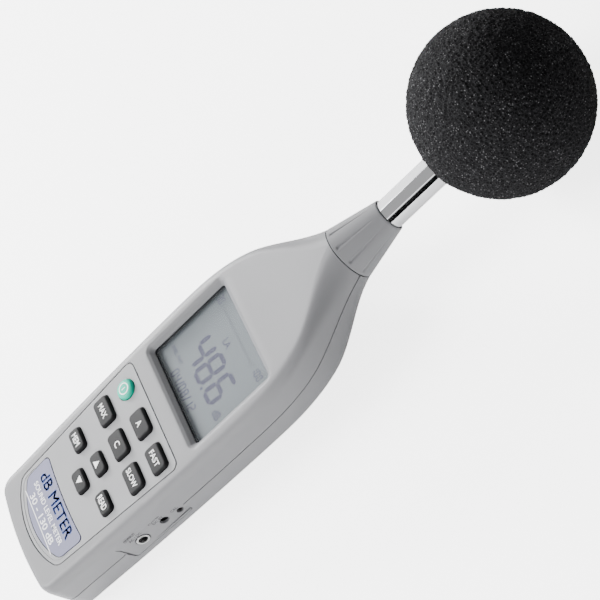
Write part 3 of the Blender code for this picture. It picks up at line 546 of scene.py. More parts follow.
def smooth_copy(node, finish, body=BODY, slot=None, sharp=32.0, edge=0.0):
    """A smooth piece made from a copy of a CAD node, which it then stands for."""
    bm = bmesh.new()
    bm.from_mesh(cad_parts[node].data)
    bmesh.ops.remove_doubles(bm, verts=bm.verts, dist=2 * MERGE)
    bmesh.ops.dissolve_limit(bm, angle_limit=radians(1.0), verts=bm.verts, edges=bm.edges)
    if edge:
        edges = [e for e in bm.edges if e.is_manifold and e.calc_face_angle(0.0) > radians(50)]
        bmesh.ops.bevel(bm, geom=edges, offset=edge, segments=2, affect="EDGES", profile=0.5, material=-1)
    return piece(mesh_object(node + "_piece", bm), finish, body, [node], slot, sharp)


# ---------------------------------------------------------------- materials


def shader_group(name, inputs, outputs):
    """An empty shader node group with these sockets, its input node and its output node."""
    tree = bpy.data.node_groups.new(name, "ShaderNodeTree")
    for socket, kind, default in inputs:
        made = tree.interface.new_socket(socket, in_out="INPUT", socket_type=kind)
        made.default_value = default
    for socket, kind in outputs:
        tree.interface.new_socket(socket, in_out="OUTPUT", socket_type=kind)
    return tree, tree.nodes.new("NodeGroupInput"), tree.nodes.new("NodeGroupOutput")


def node(tree, kind, values=(), **settings):
    """A node with its settings and the default values of its named or numbered inputs."""
    made = tree.nodes.new(kind)
    for key, value in settings.items():
        setattr(made, key, value)
    for key, value in dict(values).items():
        made.inputs[key].default_value = value
    return made


def on_object(tree, *textures):
    """Gives textures the object's own coordinates."""
    place = node(tree, "ShaderNodeTexCoord")
    for texture in textures:
        tree.links.new(place.outputs["Object"], texture.inputs["Vector"])


def math_node(tree, operation, a, b=0.0, clamp=False):
    """The output of a Math node whose operands are sockets or numbers."""
    made = node(tree, "ShaderNodeMath", operation=operation, use_clamp=clamp)
    for index, operand in enumerate((a, b)):
        if isinstance(operand, bpy.types.NodeSocket):
            tree.links.new(operand, made.inputs[index])
        else:
            made.inputs[index].default_value = operand
    return made.outputs[0]


def ramp(tree, source, low, high, low_colour=(0, 0, 0, 1), high_colour=(1, 1, 1, 1)):
    """A colour that goes from one to the other between two values of the source."""
    made = node(tree, "ShaderNodeValToRGB")
    made.color_ramp.elements[0].position = low
    made.color_ramp.elements[1].position = high
    made.color_ramp.elements[0].color = low_colour
    made.color_ramp.elements[1].color = high_colour
    tree.links.new(source, made.inputs[0])
    return made.outputs[0]


def mould_grain_group():
    """Fine spark-eroded grain and slow mottling of a moulded surface."""
    tree, sent, given = shader_group(
        "mould_grain",
        (("Grain", "NodeSocketFloat", 4000.0), ("Mottle", "NodeSocketFloat", 60.0)),
        (("Height", "NodeSocketFloat"), ("Tone", "NodeSocketFloat"), ("Polish", "NodeSocketFloat")),
    )
    grain = node(tree, "ShaderNodeTexNoise", {"Detail": 3.0, "Roughness": 0.6})
    cells = node(tree, "ShaderNodeTexVoronoi", feature="SMOOTH_F1")
    mottle = node(tree, "ShaderNodeTexNoise", {"Detail": 4.0, "Roughness": 0.55})
    on_object(tree, grain, cells, mottle)
    for texture, scale in ((grain, "Grain"), (cells, "Grain"), (mottle, "Mottle")):
        tree.links.new(sent.outputs[scale], texture.inputs["Scale"])
    height = math_node(tree, "MULTIPLY", cells.outputs["Distance"], 0.5)
    height = math_node(tree, "ADD", height, grain.outputs["Fac"])
    tree.links.new(height, given.inputs["Height"])
    tree.links.new(mottle.outputs["Fac"], given.inputs["Tone"])
    tree.links.new(ramp(tree, mottle.outputs["Fac"], 0.35, 0.68), given.inputs["Polish"])
    return tree


def scuffs_group():
    """Sparse hairline scratches, as a mask."""
    tree, sent, given = shader_group(
        "scuffs",
        (("Scale", "NodeSocketFloat", 220.0), ("Amount", "NodeSocketFloat", 0.5)),
        (("Mask", "NodeSocketFloat"),),
    )
    stretch = node(tree, "ShaderNodeMapping", {"Rotation": (0.2, 0.4, 0.7), "Scale": (1.0, 0.06, 1.0)})
    streak = node(tree, "ShaderNodeTexNoise", {"Detail": 2.0, "Roughness": 0.5, "Distortion": 0.3})
    patch = node(tree, "ShaderNodeTexNoise", {"Scale": 55.0, "Detail": 2.0})
    on_object(tree, stretch, patch)
    tree.links.new(stretch.outputs["Vector"], streak.inputs["Vector"])
    tree.links.new(sent.outputs["Scale"], streak.inputs["Scale"])
    lines = ramp(tree, streak.outputs["Fac"], 0.66, 0.74)
    where = ramp(tree, patch.outputs["Fac"], 0.52, 0.68)
    mask = math_node(tree, "MULTIPLY", lines, where)
    tree.links.new(math_node(tree, "MULTIPLY", mask, sent.outputs["Amount"]), given.inputs["Mask"])
    return tree


def group(tree, name, builder, values=()):
    """A node of a shared shader group, which is built the first time it is wanted."""
    made = tree.nodes.new("ShaderNodeGroup")
    made.node_tree = bpy.data.node_groups.get(name) or builder()
    for key, value in dict(values).items():
        made.inputs[key].default_value = value
    return made


def new_material(name, values):
    """A material with a Principled shader, its node tree and the shader."""
    made = bpy.data.materials.new(name)
    made.use_nodes = True
    shader = made.node_tree.nodes["Principled BSDF"]
    for key, value in values.items():
        shader.inputs[key].default_value = value
    return made, made.node_tree, shader


def toned(tree, colour, factor, spread):
    """A colour that a factor from 0 to 1 makes a little darker or lighter."""
    blend = node(tree, "ShaderNodeMix", data_type="RGBA")
    blend.inputs["A"].default_value = (*[c * (1.0 - spread) for c in colour], 1.0)
    blend.inputs["B"].default_value = (*[min(c * (1.0 + spread), 1.0) for c in colour], 1.0)
    tree.links.new(factor, blend.inputs["Factor"])
    return blend.outputs["Result"]


def spread_value(tree, factor, low, high):
    """A value from low to high as the factor goes from 0 to 1."""
    made = node(tree, "ShaderNodeMapRange", {"To Min": low, "To Max": high})
    tree.links.new(factor, made.inputs["Value"])
    return made.outputs["Result"]


def bump(tree, shader, height, strength, distance):
    """Feeds the shader's normal from a height."""
    made = node(tree, "ShaderNodeBump", {"Strength": strength, "Distance": distance})
    tree.links.new(height, made.inputs["Height"])
    tree.links.new(made.outputs["Normal"], shader.inputs["Normal"])


def moulded(name, colour, rough, grain=4200.0, depth=0.02 * MM, spread=0.03, strength=0.35, values=()):
    """Moulded plastic or rubber: fine grain, slow mottling and patches polished by handling."""
    if name in bpy.data.materials:
        return bpy.data.materials[name]
    made, tree, shader = new_material(name, dict(values))
    skin = group(tree, "mould_grain", mould_grain_group, {"Grain": grain})
    scuffs = group(tree, "scuffs", scuffs_group, {"Amount": 0.35})
    tone = toned(tree, colour, skin.outputs["Tone"], spread)
    scratched = node(tree, "ShaderNodeMix", data_type="RGBA")
    scratched.inputs["B"].default_value = (*[min(c * 1.12 + 0.01, 1.0) for c in colour], 1.0)
    tree.links.new(tone, scratched.inputs["A"])
    tree.links.new(scuffs.outputs["Mask"], scratched.inputs["Factor"])
    tree.links.new(scratched.outputs["Result"], shader.inputs["Base Color"])
    tree.links.new(
        spread_value(tree, skin.outputs["Polish"], rough + 0.05, rough - 0.06), shader.inputs["Roughness"]
    )
    bump(tree, shader, skin.outputs["Height"], strength, depth)
    return made


def plated(name, colour, rough, scale=900.0):
    """Plated or turned metal with faint haze and hairlines."""
    if name in bpy.data.materials:
        return bpy.data.materials[name]
    made, tree, shader = new_material(name, {"Metallic": 1.0})
    skin = group(tree, "mould_grain", mould_grain_group, {"Grain": scale, "Mottle": 90.0})
    scuffs = group(tree, "scuffs", scuffs_group, {"Amount": 0.25, "Scale": 400.0})
    tree.links.new(toned(tree, colour, skin.outputs["Tone"], 0.02), shader.inputs["Base Color"])
    haze = spread_value(tree, skin.outputs["Polish"], rough * 1.35, rough * 0.8)
    hazy = math_node(tree, "ADD", haze, scuffs.outputs["Mask"], clamp=True)
    tree.links.new(hazy, shader.inputs["Roughness"])
    bump(tree, shader, skin.outputs["Height"], 0.05, 0.004 * MM)
    return made


def ink(name, colour):
    """Printed ink with a slightly uneven edge to its tone."""
    return moulded(name, colour, 0.5, grain=6000.0, depth=0.008 * MM, spread=0.06)


def case_plastic():
    return moulded("case_moulding", bpy.context.scene.meter_case.plastic, 0.42)


def key_rubber():
    return moulded(
        "key_rubber", bpy.context.scene.meter_keypad.keys, 0.50, grain=3600.0, spread=0.08, strength=0.45,
        values={"Specular IOR Level": 0.17},
    )


def black_plastic():
    return moulded("black_moulding", (0.018, 0.018, 0.019), 0.42, spread=0.1)


def chrome():
    return plated("bright_chrome", bpy.context.scene.meter_microphone.chrome, 0.045)


def steel():
    return plated("nickelled_steel", (0.56, 0.56, 0.56), 0.24)


def brass():
    return plated("turned_brass", (0.68, 0.52, 0.26), 0.24)


def label_foil():
    """Metallic film with a very fine brushed grain and a soft sheen."""
    if "label_foil" in bpy.data.materials:
        return bpy.data.materials["label_foil"]
    colour = bpy.context.scene.meter_label.foil
    made, tree, shader = new_material("label_foil", {"Metallic": 0.35})
    stretch = node(tree, "ShaderNodeMapping", {"Scale": (1.0, 30.0, 1.0)})
    brushed = node(tree, "ShaderNodeTexNoise", {"Scale": 240.0, "Detail": 3.0})
    on_object(tree, stretch)
    tree.links.new(stretch.outputs["Vector"], brushed.inputs["Vector"])
    tree.links.new(toned(tree, colour, brushed.outputs["Fac"], 0.06), shader.inputs["Base Color"])
    tree.links.new(spread_value(tree, brushed.outputs["Fac"], 0.30, 0.46), shader.inputs["Roughness"])
    bump(tree, shader, brushed.outputs["Fac"], 0.12, 0.006 * MM)
    return made


def lens_plastic():
    """Clear window: nearly all see-through, with the reflections of a hard coat at glancing angles."""
    if "lens_plastic" in bpy.data.materials:
        return bpy.data.materials["lens_plastic"]
    made, tree, shader = new_material("lens_plastic", {"Base Color": (0.20, 0.22, 0.24, 1.0), "IOR": 1.49})
    facing = node(tree, "ShaderNodeLayerWeight", {"Blend": 0.5})
    side = node(tree, "ShaderNodeNewGeometry")
    skin = group(tree, "mould_grain", mould_grain_group, {"Grain": 900.0, "Mottle": 45.0})
    smear = spread_value(tree, skin.outputs["Polish"], 0.0, 0.02)
    veil = math_node(tree, "POWER", facing.outputs["Facing"], 2.5)
    veil = math_node(tree, "ADD", math_node(tree, "ADD", veil, smear), 0.03)
    front = math_node(tree, "SUBTRACT", 1.0, side.outputs["Backfacing"])
    tree.links.new(math_node(tree, "MULTIPLY", veil, front), shader.inputs["Alpha"])
    tree.links.new(spread_value(tree, skin.outputs["Polish"], 0.10, 0.05), shader.inputs["Roughness"])
    return made


def display_background():
    """The display's polariser film: grey with a slow shift of tone and a very fine weave."""
    if "display_film" in bpy.data.materials:
        return bpy.data.materials["display_film"]
    colour = bpy.context.scene.meter_display.background
    made, tree, shader = new_material("display_film", {"Specular IOR Level": 0.15})
    slow = node(tree, "ShaderNodeTexNoise", {"Scale": 22.0, "Detail": 1.0})
    fine = node(tree, "ShaderNodeTexNoise", {"Scale": 5200.0, "Detail": 1.0})
    on_object(tree, slow, fine)
    slow_share = math_node(tree, "MULTIPLY", slow.outputs["Fac"], 0.8)
    both = math_node(tree, "ADD", slow_share, math_node(tree, "MULTIPLY", fine.outputs["Fac"], 0.2))
    tree.links.new(toned(tree, colour, both, 0.07), shader.inputs["Base Color"])
    tree.links.new(spread_value(tree, fine.outputs["Fac"], 0.30, 0.42), shader.inputs["Roughness"])
    bump(tree, shader, fine.outputs["Fac"], 0.08, 0.004 * MM)
    return made


def foam():
    """Open-cell foam: painted shade darkens the pits, the cell walls are painted lighter as if lit, and
    painted glints sit on their ends.
    """
    if "windscreen_foam" in bpy.data.materials:
        return bpy.data.materials["windscreen_foam"]
    settings = bpy.context.scene.meter_windscreen
    made, tree, shader = new_material("windscreen_foam", {"Specular IOR Level": 0.12})
    cells = node(tree, "ShaderNodeTexVoronoi", {"Scale": 1.0 / settings.pore}, feature="DISTANCE_TO_EDGE")
    fibres = node(tree, "ShaderNodeTexNoise", {"Scale": 2600.0, "Detail": 4.0, "Roughness": 0.7})
    glints = node(tree, "ShaderNodeTexVoronoi", {"Scale": 1150.0}, feature="F1")
    patches = node(tree, "ShaderNodeTexNoise", {"Scale": 120.0, "Detail": 3.0})
    on_object(tree, cells, fibres, glints, patches)
    # The cell-wall mask paints the walls lighter than the shaded pits (painted light and shade); it also
    # sets roughness and bumps.
    wall = ramp(tree, cells.outputs["Distance"], 0.02, 0.22, (1, 1, 1, 1), (0, 0, 0, 1))
    strands = math_node(tree, "MULTIPLY", wall, fibres.outputs["Fac"])
    # Painted glints: small bright specks scattered over the cell walls.
    spark = ramp(tree, glints.outputs["Color"], 0.50, 0.95)
    near = ramp(tree, glints.outputs["Distance"], 0.12, 0.42, (1, 1, 1, 1), (0, 0, 0, 1))
    glint = math_node(tree, "MULTIPLY", spark, near)
    body = toned(tree, settings.foam, patches.outputs["Fac"], 0.25)
    # Colour of the cell walls, painted lighter than the shaded pits as if lit.
    lit = node(tree, "ShaderNodeMix", data_type="RGBA")
    lit.inputs["B"].default_value = (0.022, 0.022, 0.024, 1.0)
    tree.links.new(body, lit.inputs["A"])
    tree.links.new(strands, lit.inputs["Factor"])
    # Painted glints lighten the colour further.
    bright = node(tree, "ShaderNodeMix", data_type="RGBA")
    bright.inputs["B"].default_value = (0.16, 0.16, 0.165, 1.0)
    tree.links.new(lit.outputs["Result"], bright.inputs["A"])
    tree.links.new(glint, bright.inputs["Factor"])
    tree.links.new(bright.outputs["Result"], shader.inputs["Base Color"])
    tree.links.new(spread_value(tree, strands, 0.95, 0.55), shader.inputs["Roughness"])
    height = math_node(tree, "ADD", strands, math_node(tree, "MULTIPLY", fibres.outputs["Fac"], 0.4))
    bump(tree, shader, height, 0.9, 0.35 * MM)
    return made


def board_laminate():
    """Solder-masked circuit board with a pattern of tracks."""
    if "board_laminate" in bpy.data.materials:
        return bpy.data.materials["board_laminate"]
    made, tree, shader = new_material("board_laminate", {"Coat Weight": 0.3})
    blocks = node(tree, "ShaderNodeTexBrick", {
        "Scale": 420.0, "Mortar Size": 0.03, "Mortar": (0.03, 0.26, 0.11, 1),
        "Color1": (0.012, 0.12, 0.05, 1), "Color2": (0.016, 0.16, 0.065, 1),
    })
    weave = node(tree, "ShaderNodeTexNoise", {"Scale": 1500.0, "Detail": 2.0})
    on_object(tree, blocks, weave)
    tree.links.new(blocks.outputs["Color"], shader.inputs["Base Color"])
    tree.links.new(spread_value(tree, weave.outputs["Fac"], 0.3, 0.5), shader.inputs["Roughness"])
    bump(tree, shader, blocks.outputs["Fac"], 0.3, 0.03 * MM)
    return made


def cell_jacket():
    """A battery's printed sleeve: dark blue with a metallic band at one end and a fine printed line."""
    if "cell_sleeve" in bpy.data.materials:
        return bpy.data.materials["cell_sleeve"]
    made, tree, shader = new_material("cell_sleeve", {"Coat Weight": 0.4})
    axes = node(tree, "ShaderNodeSeparateXYZ")
    haze = node(tree, "ShaderNodeTexNoise", {"Scale": 300.0, "Detail": 3.0})
    on_object(tree, axes, haze)
    along = node(tree, "ShaderNodeMapRange", {"From Min": -0.094, "From Max": -0.043})
    tree.links.new(axes.outputs["Y"], along.inputs["Value"])
    bands = node(tree, "ShaderNodeValToRGB")
    bands.color_ramp.interpolation = "CONSTANT"
    stops = ((0.0, (0.45, 0.45, 0.46)), (0.13, (0.02, 0.06, 0.22)), (0.70, (0.60, 0.60, 0.60)),
             (0.73, (0.50, 0.33, 0.12)), (0.88, (0.45, 0.45, 0.46)))
    for position, colour in stops[1:]:
        bands.color_ramp.elements.new(position)
    for element, (position, colour) in zip(bands.color_ramp.elements, stops):
        element.position = position
        element.color = (*colour, 1.0)
    tree.links.new(along.outputs["Result"], bands.inputs[0])
    tree.links.new(bands.outputs[0], shader.inputs["Base Color"])
    tree.links.new(spread_value(tree, haze.outputs["Fac"], 0.22, 0.42), shader.inputs["Roughness"])
    bump(tree, shader, haze.outputs["Fac"], 0.05, 0.01 * MM)
    return made


# ---------------------------------------------------------------- case


def case_half_width(y):
    """The case's half width at the parting line: a smooth curve through CASE_PLAN."""
    plan = [(along * MM, half * MM) for along, half in CASE_PLAN]
    index = max(i for i in range(len(plan) - 1) if plan[i][0] <= y or i == 0)

    def slope(i):
        before, after = plan[max(i - 1, 0)], plan[min(i + 1, len(plan) - 1)]
        return (after[1] - before[1]) / (after[0] - before[0])

    (y0, w0), (y1, w1) = plan[index], plan[index + 1]
    span = y1 - y0
    t = (y - y0) / span
    return (
        w0 * (2 * t**3 - 3 * t**2 + 1)
        + w1 * (3 * t**2 - 2 * t**3)
        + slope(index) * span * (t**3 - 2 * t**2 + t)
        + slope(index + 1) * span * (t**3 - t**2)
    )


def parting_height(y):
    """Height of the parting line, which rises to the microphone's axis at the neck."""
    return mix(PARTING_Z, AXIS_Z, ease(y, CLOSING_Y, NECK_Y))


def rounded_off(radius, distance):
    """How far an edge of this radius has fallen at a distance from its end."""
    return radius - sqrt(radius**2 - max(radius - distance, 0.0) ** 2)


def case_section(station):
    """Half a cross-section, from the middle of the front round the right side to the middle of the back."""
    settings = bpy.context.scene.meter_case
    neck = ease(station, CLOSING_Y, NECK_Y)
    rounding = ease(station, ROUNDING_Y, NECK_Y)
    parting = parting_height(station)
    front = mix(FRONT_Z, AXIS_Z + NECK_RADIUS, neck)
    back = mix(BACK_Z, AXIS_Z - NECK_RADIUS, ease(station, BACK_CLOSING_Y, NECK_Y))
    fall = rounded_off(TAIL_EDGE, station - TAIL_Y)
    half = case_half_width(station) - rounded_off(TAIL_CORNER, station - TAIL_Y)
    draft = SIDE_DRAFT * (1.0 - neck)
    bow = TAIL_BOW * (1.0 - ease(station, TAIL_Y, TAIL_Y + TAIL_BOW_LENGTH))
    points = []
    for surface, edge in ((front - fall, settings.front_edge), (back + fall, settings.back_edge)):
        radius = max(mix(edge, NECK_RADIUS, rounding) - fall, 1.0 * MM)
        centre_x = half - draft - radius
        inward = radius if surface < parting else -radius
        side = [(centre_x * step / FLAT_STEPS, surface) for step in range(FLAT_STEPS)]
        for step in range(ARC_STEPS + 1):
            turn = step / ARC_STEPS * pi / 2
            side.append((centre_x + radius * sin(turn), surface + inward * (1 - cos(turn))))
        points.append(side)
    outline = points[0] + [(half, parting)] + points[1][::-1]
    return [(x, station + bow * (x / half) ** 2, z) for x, z in outline]


def case_skin(name):
    """The whole case as one shell, open at the neck."""
    stations = [TAIL_Y + TAIL_CORNER * (1 - cos(step / TAIL_STEPS * pi / 2)) for step in range(TAIL_STEPS)]
    first = TAIL_Y + TAIL_CORNER
    stations += [mix(first, NECK_Y - GAP / 2, step / LENGTH_STEPS) for step in range(LENGTH_STEPS + 1)]
    sections = [case_section(station) for station in stations]
    rows, columns = len(sections), len(sections[0])
    bm = bmesh.new()
    bmesh.ops.create_grid(bm, x_segments=rows - 1, y_segments=columns - 1, size=1.0)
    end = {}
    for vert in bm.verts:
        row = round((vert.co.x + 1.0) / 2.0 * (rows - 1))
        column = round((vert.co.y + 1.0) / 2.0 * (columns - 1))
        vert.co = sections[row][column]
        if row == 0:
            end[column] = vert
    for low in range(columns // 2 - 1):
        high = columns - 1 - low
        bm.faces.new((end[low], end[high], end[high - 1], end[low + 1]))
    middle = columns // 2
    bm.faces.new((end[middle - 1], end[middle + 1], end[middle]))
    bmesh.ops.mirror(bm, geom=bm.verts[:] + bm.edges[:] + bm.faces[:], axis="X", merge_dist=MERGE)
    bmesh.ops.remove_doubles(bm, verts=bm.verts, dist=MERGE)
    bmesh.ops.recalc_face_normals(bm, faces=bm.faces)
    obj = mesh_object(name, bm)
    shell = obj.modifiers.new("wall", "SOLIDIFY")
    shell.thickness = WALL
    shell.offset = -1.0
    return settled(obj)


def parting_block(far_z, clearance):
    """Everything on one side of the parting line, up to far_z."""
    low_y, high_y = BEYOND_Y
    ys = [low_y] + [mix(40 * MM, NECK_Y, step / 20) for step in range(21)] + [high_y]
    shift = clearance if far_z < PARTING_Z else -clearance
    outline = [(y, parting_height(y) + shift) for y in ys] + [(high_y, far_z), (low_y, far_z)]
    bm = stack(((outline, -BEYOND_X), (outline, BEYOND_X)))
    bm.transform(FACING_X)
    return bm


def tongue_block(grown):
    """The part of the right side that the front case keeps below the parting line."""
    low = (TONGUE_ROOT_X, TONGUE_Y[0] - grown, TONGUE_Z[0] - grown)
    high = (BEYOND_X, TONGUE_Y[1] + grown, TONGUE_Z[1])
    return box(low, high, 1.5 * MM, along=0, steps=6)


def panel_outline(top_y, end_y, margin, end_radius, corner, end_corner, top_dip=0.0):
    """The keypad panel's outline drawn in by a margin: tapered sides and an arc across the end."""

    def half(y):
        return PANEL_HALF_TOP - PANEL_TAPER * (PANEL_TOP_Y - y) - margin

    corner_x = half(end_y)
    for _ in range(5):  # settles on the point where the tapered side meets the end's arc
        corner_y = end_y + end_radius - sqrt(end_radius**2 - corner_x**2)
        corner_x = half(corner_y)
    arc = []
    for step in range(-8, 9):
        x = -corner_x * step / 11
        arc.append((x, end_y + end_radius - sqrt(end_radius**2 - x**2), 0.0))
    top = [(half(top_y) * step / 8, top_y - top_dip * (1 - (step / 8) ** 2), 0.0) for step in range(-6, 7)]
    right = [(half(top_y), top_y, corner), (corner_x, corner_y, end_corner)]
    left = [(-corner_x, corner_y, end_corner), (-half(top_y), top_y, corner)]
    return rounded(right + arc + left + top)


def whole_panel(margin):
    return panel_outline(
        PANEL_TOP_Y - margin, PANEL_END_Y + margin, margin, PANEL_END_RADIUS, PANEL_CORNER, 5.5 * MM
    )


def label_outline(margin):
    end_margin = LABEL_END_MARGIN + margin
    return panel_outline(
        LABEL_TOP_Y - margin,
        PANEL_END_Y + end_margin,
        LABEL_MARGIN + margin,
        PANEL_END_RADIUS - end_margin,
        2.0 * MM,
        4.5 * MM,
        top_dip=1.2 * MM,
    )


def window_cut():
    """The window's opening: a sloped wall up to a rim that rolls over into the front face."""

    def opening(grown, corner):
        return rectangle(WINDOW_HALF + grown, WINDOW_Y[0] - grown, WINDOW_Y[1] + grown, corner)

    foot = opening(-WINDOW_SLOPE, WINDOW_CORNERS[0])
    levels = [(foot, FRONT_Z - WINDOW_DEPTH - 0.5 * MM), (foot, FRONT_Z - WINDOW_DEPTH + 0.4 * MM)]
    for grown, z in WINDOW_RIM:
        levels.append((opening(grown * MM, WINDOW_CORNERS[1] + grown * MM), FRONT_Z + z * MM))
    levels.append((opening(1.3 * MM, WINDOW_CORNERS[2]), FRONT_Z + 0.5 * MM))
    return stack(levels)


def on_parting(point, clearance):
    """Whether a point is on the half case's edge along the parting line."""
    return abs(point.z - parting_height(point.y) - clearance) < 0.004 * MM


class METER_OT_front_case(bpy.types.Operator):
    """Builds the front half of the case with its window frame and side sockets' flat"""

    bl_idname = "meter.front_case"
    bl_label = "Front case"

    def execute(self, context):
        seam = context.scene.meter_case.seam
        below = mesh_object("below", parting_block(-30 * MM, GAP / 2))
        below = shape_of(boolean(below, "DIFFERENCE", tongue_block(0.0)))
        posts = []
        pilots = []
        for x, y in SCREWS:
            place = Matrix.Translation((x, y, 0.0))
            low = FRONT_POST_FOOT_Z[0 if y < 0 else 1]
            posts.append(cylinder(FRONT_POST_RADIUS, low, FRONT_POST_TOP_Z, place))
            pilots.append(cylinder(SCREW_SHANK + GAP, 10 * MM, PILOT_TOP_Z, place))

        chamfer = 0.26 * MM
        seat = stack(
            (
                (whole_panel(-GAP), PANEL_SEAT_Z),
                (whole_panel(-GAP), FRONT_Z - chamfer),
                (whole_panel(-GAP - chamfer * 0.4), FRONT_Z - chamfer * 0.35),
                (whole_panel(-GAP - chamfer * 2), FRONT_Z + chamfer),
            )
        )
        inner = panel_outline(-16.6 * MM, KEYPAD_LOW_Y, 1.6 * MM, 200 * MM, 2.0 * MM, 2.0 * MM)
        opening = stack(((inner, 20 * MM), (inner, 30 * MM)))
        lens_seat = rectangle(LENS_HALF + GAP, LENS_Y[0] - GAP, LENS_Y[1] + GAP, 1.0 * MM)
        lens_room = stack(((lens_seat, 22 * MM), (lens_seat, 24.9 * MM)))
        recess = box(
            (SIDE_X, TONGUE_Y[0] + 0.9 * MM, TONGUE_RECESS_Z[0]),
            (SIDE_X + 4 * MM, TONGUE_Y[1] + 0.6 * MM, TONGUE_RECESS_Z[1]),
            1.0 * MM,
            along=0,
            steps=6,
        )
        holes = []
        sockets = ((JACK_AT, JACK_RING[1] + GAP), (POWER_AT, POWER_HOLE), (TRIMMER_AT, TRIMMER_HOLE))
        inside, outside, flare = TONGUE_ROOT_X, 36 * MM, 0.35 * MM
        for at, radius in sockets:
            profile = (
                (0.0, inside), (radius, inside), (radius, SIDE_X - flare),
                (radius + flare * 0.3, SIDE_X - flare * 0.3), (radius + flare, SIDE_X + 0.05 * MM),
                (radius + flare, outside), (0.0, outside),
            )
            holes.append(turned(profile, (0.0, *at), "X", 48))

        groove = [(y * MM, z * MM) for y, z in TONGUE_GROOVE]
        groove = stack(((groove, SIDE_X - 0.55 * MM), (groove, SIDE_X + 4 * MM)))
        groove.transform(FACING_X)
        holes.append(groove)

        case = boolean(case_skin("front_case_shell"), "DIFFERENCE", below)
        bevelled(case, lambda p: on_parting(p, GAP / 2), seam)
        boolean(case, "UNION", box(*WINDOW_FRAME), *posts)
        boolean(case, "DIFFERENCE", seat, opening, lens_room, *pilots)
        boolean(case, "DIFFERENCE", window_cut(), recess, *holes)
        piece(case, case_plastic(), nodes=["front_case"], slot="case_plastic", sharp=38, weighted=True)
        return {"FINISHED"}


def cover_region(grown):
    """The part of the case, grown by a clearance, that the battery cover takes up."""
    low = (-COVER_HALF - grown, BEYOND_Y[0], -5 * MM)
    return box(low, (COVER_HALF + grown, COVER_HEAD_Y + grown, COVER_TOP_Z + grown))


class METER_OT_rear_case(bpy.types.Operator):
    """Builds the back half of the case with its screw posts and the boss for the tripod bush"""

    bl_idname = "meter.rear_case"
    bl_label = "Rear case"

    def execute(self, context):
        seam = context.scene.meter_case.seam
        above = mesh_object("above", parting_block(60 * MM, GAP / 2))
        above = shape_of(boolean(above, "UNION", tongue_block(GAP)))
        place = Matrix.Translation((0, BUSH_Y, 0))
        posts = [cylinder(BUSH_RADIUS + 2 * MM, 1.2 * MM, BUSH_TOP_Z + 1.6 * MM, place)]
        holes = [flared_hole(BUSH_RADIUS + GAP, BUSH_TOP_Z + GAP, (0.0, BUSH_Y))]
        for x, y in SCREWS:
            place = Matrix.Translation((x, y, 0.0))
            posts.append(cylinder(POST_RADIUS, 1.3 * MM, PARTING_Z - GAP, place))
            holes.append(flared_hole(SCREW_HEAD + GAP, SCREW_SEAT_Z, (x, y)))
            holes.append(cylinder(SCREW_SHANK + GAP, 2 * MM, 20 * MM, place))

        case = boolean(case_skin("rear_case_shell"), "DIFFERENCE", above)
        bevelled(case, lambda p: on_parting(p, -GAP / 2), seam)
        boolean(case, "UNION", *posts)
        boolean(case, "DIFFERENCE", cover_region(GAP), *holes)
        piece(case, case_plastic(), nodes=["rear_case"], slot="case_plastic", sharp=38, weighted=True)
        return {"FINISHED"}


def flared_hole(radius, top, at):
    """A hole in the back, from below it to a height, with a softened mouth."""
    flare = 0.3 * MM
    profile = (
        (0.0, top), (radius, top), (radius, flare), (radius + flare * 0.3, flare * 0.3),
        (radius + flare * 1.2, -0.1 * MM), (radius + flare * 1.2, -3 * MM), (0.0, -3 * MM),
    )
    return turned(profile, (*at, 0.0), "Z", 48)


class METER_OT_battery_cover(bpy.types.Operator):
    """Builds the sliding battery cover with its grip ribs and moulded arrow"""

    bl_idname = "meter.battery_cover"
    bl_label = "Battery cover"

    def execute(self, context):
        head = COVER_HEAD_Y
        tab = box((-14 * MM, head - 2.5 * MM, 1.2 * MM), (14 * MM, head - 0.3 * MM, 3.2 * MM))
        lip = box((-14 * MM, head - 2.5 * MM, 2.3 * MM), (14 * MM, head + 2.6 * MM, 3.3 * MM), 0.3 * MM)
        grooves = []
        for row in range(6):
            y = head - (9 + 1.8 * row) * MM
            grooves.append(box((-9 * MM, y, -1 * MM), (9 * MM, y + 0.9 * MM, 0.45 * MM), 0.4 * MM, along=0))
        arrow = [(-4.0, 0.0), (0.0, -4.6), (4.0, 0.0), (1.4, 0.0), (1.4, 4.2), (-1.4, 4.2), (-1.4, 0.0)]
        arrow = [(x * MM, head - 26 * MM + y * MM) for x, y in arrow]
        grooves.append(stack(((arrow, -1 * MM), (arrow, 0.35 * MM))))
        cover = boolean(case_skin("battery_cover_shell"), "INTERSECT", cover_region(0.0))
        boolean(cover, "UNION", tab, lip)
        bevelled(cover, lambda p: p.z < 0.01 * MM and p.y > -94 * MM, 0.25 * MM)
        boolean(cover, "DIFFERENCE", *grooves)
        name = "battery_cover"
        piece(cover, case_plastic(), name, [name], "case_plastic", sharp=38, weighted=True)
        return {"FINISHED"}


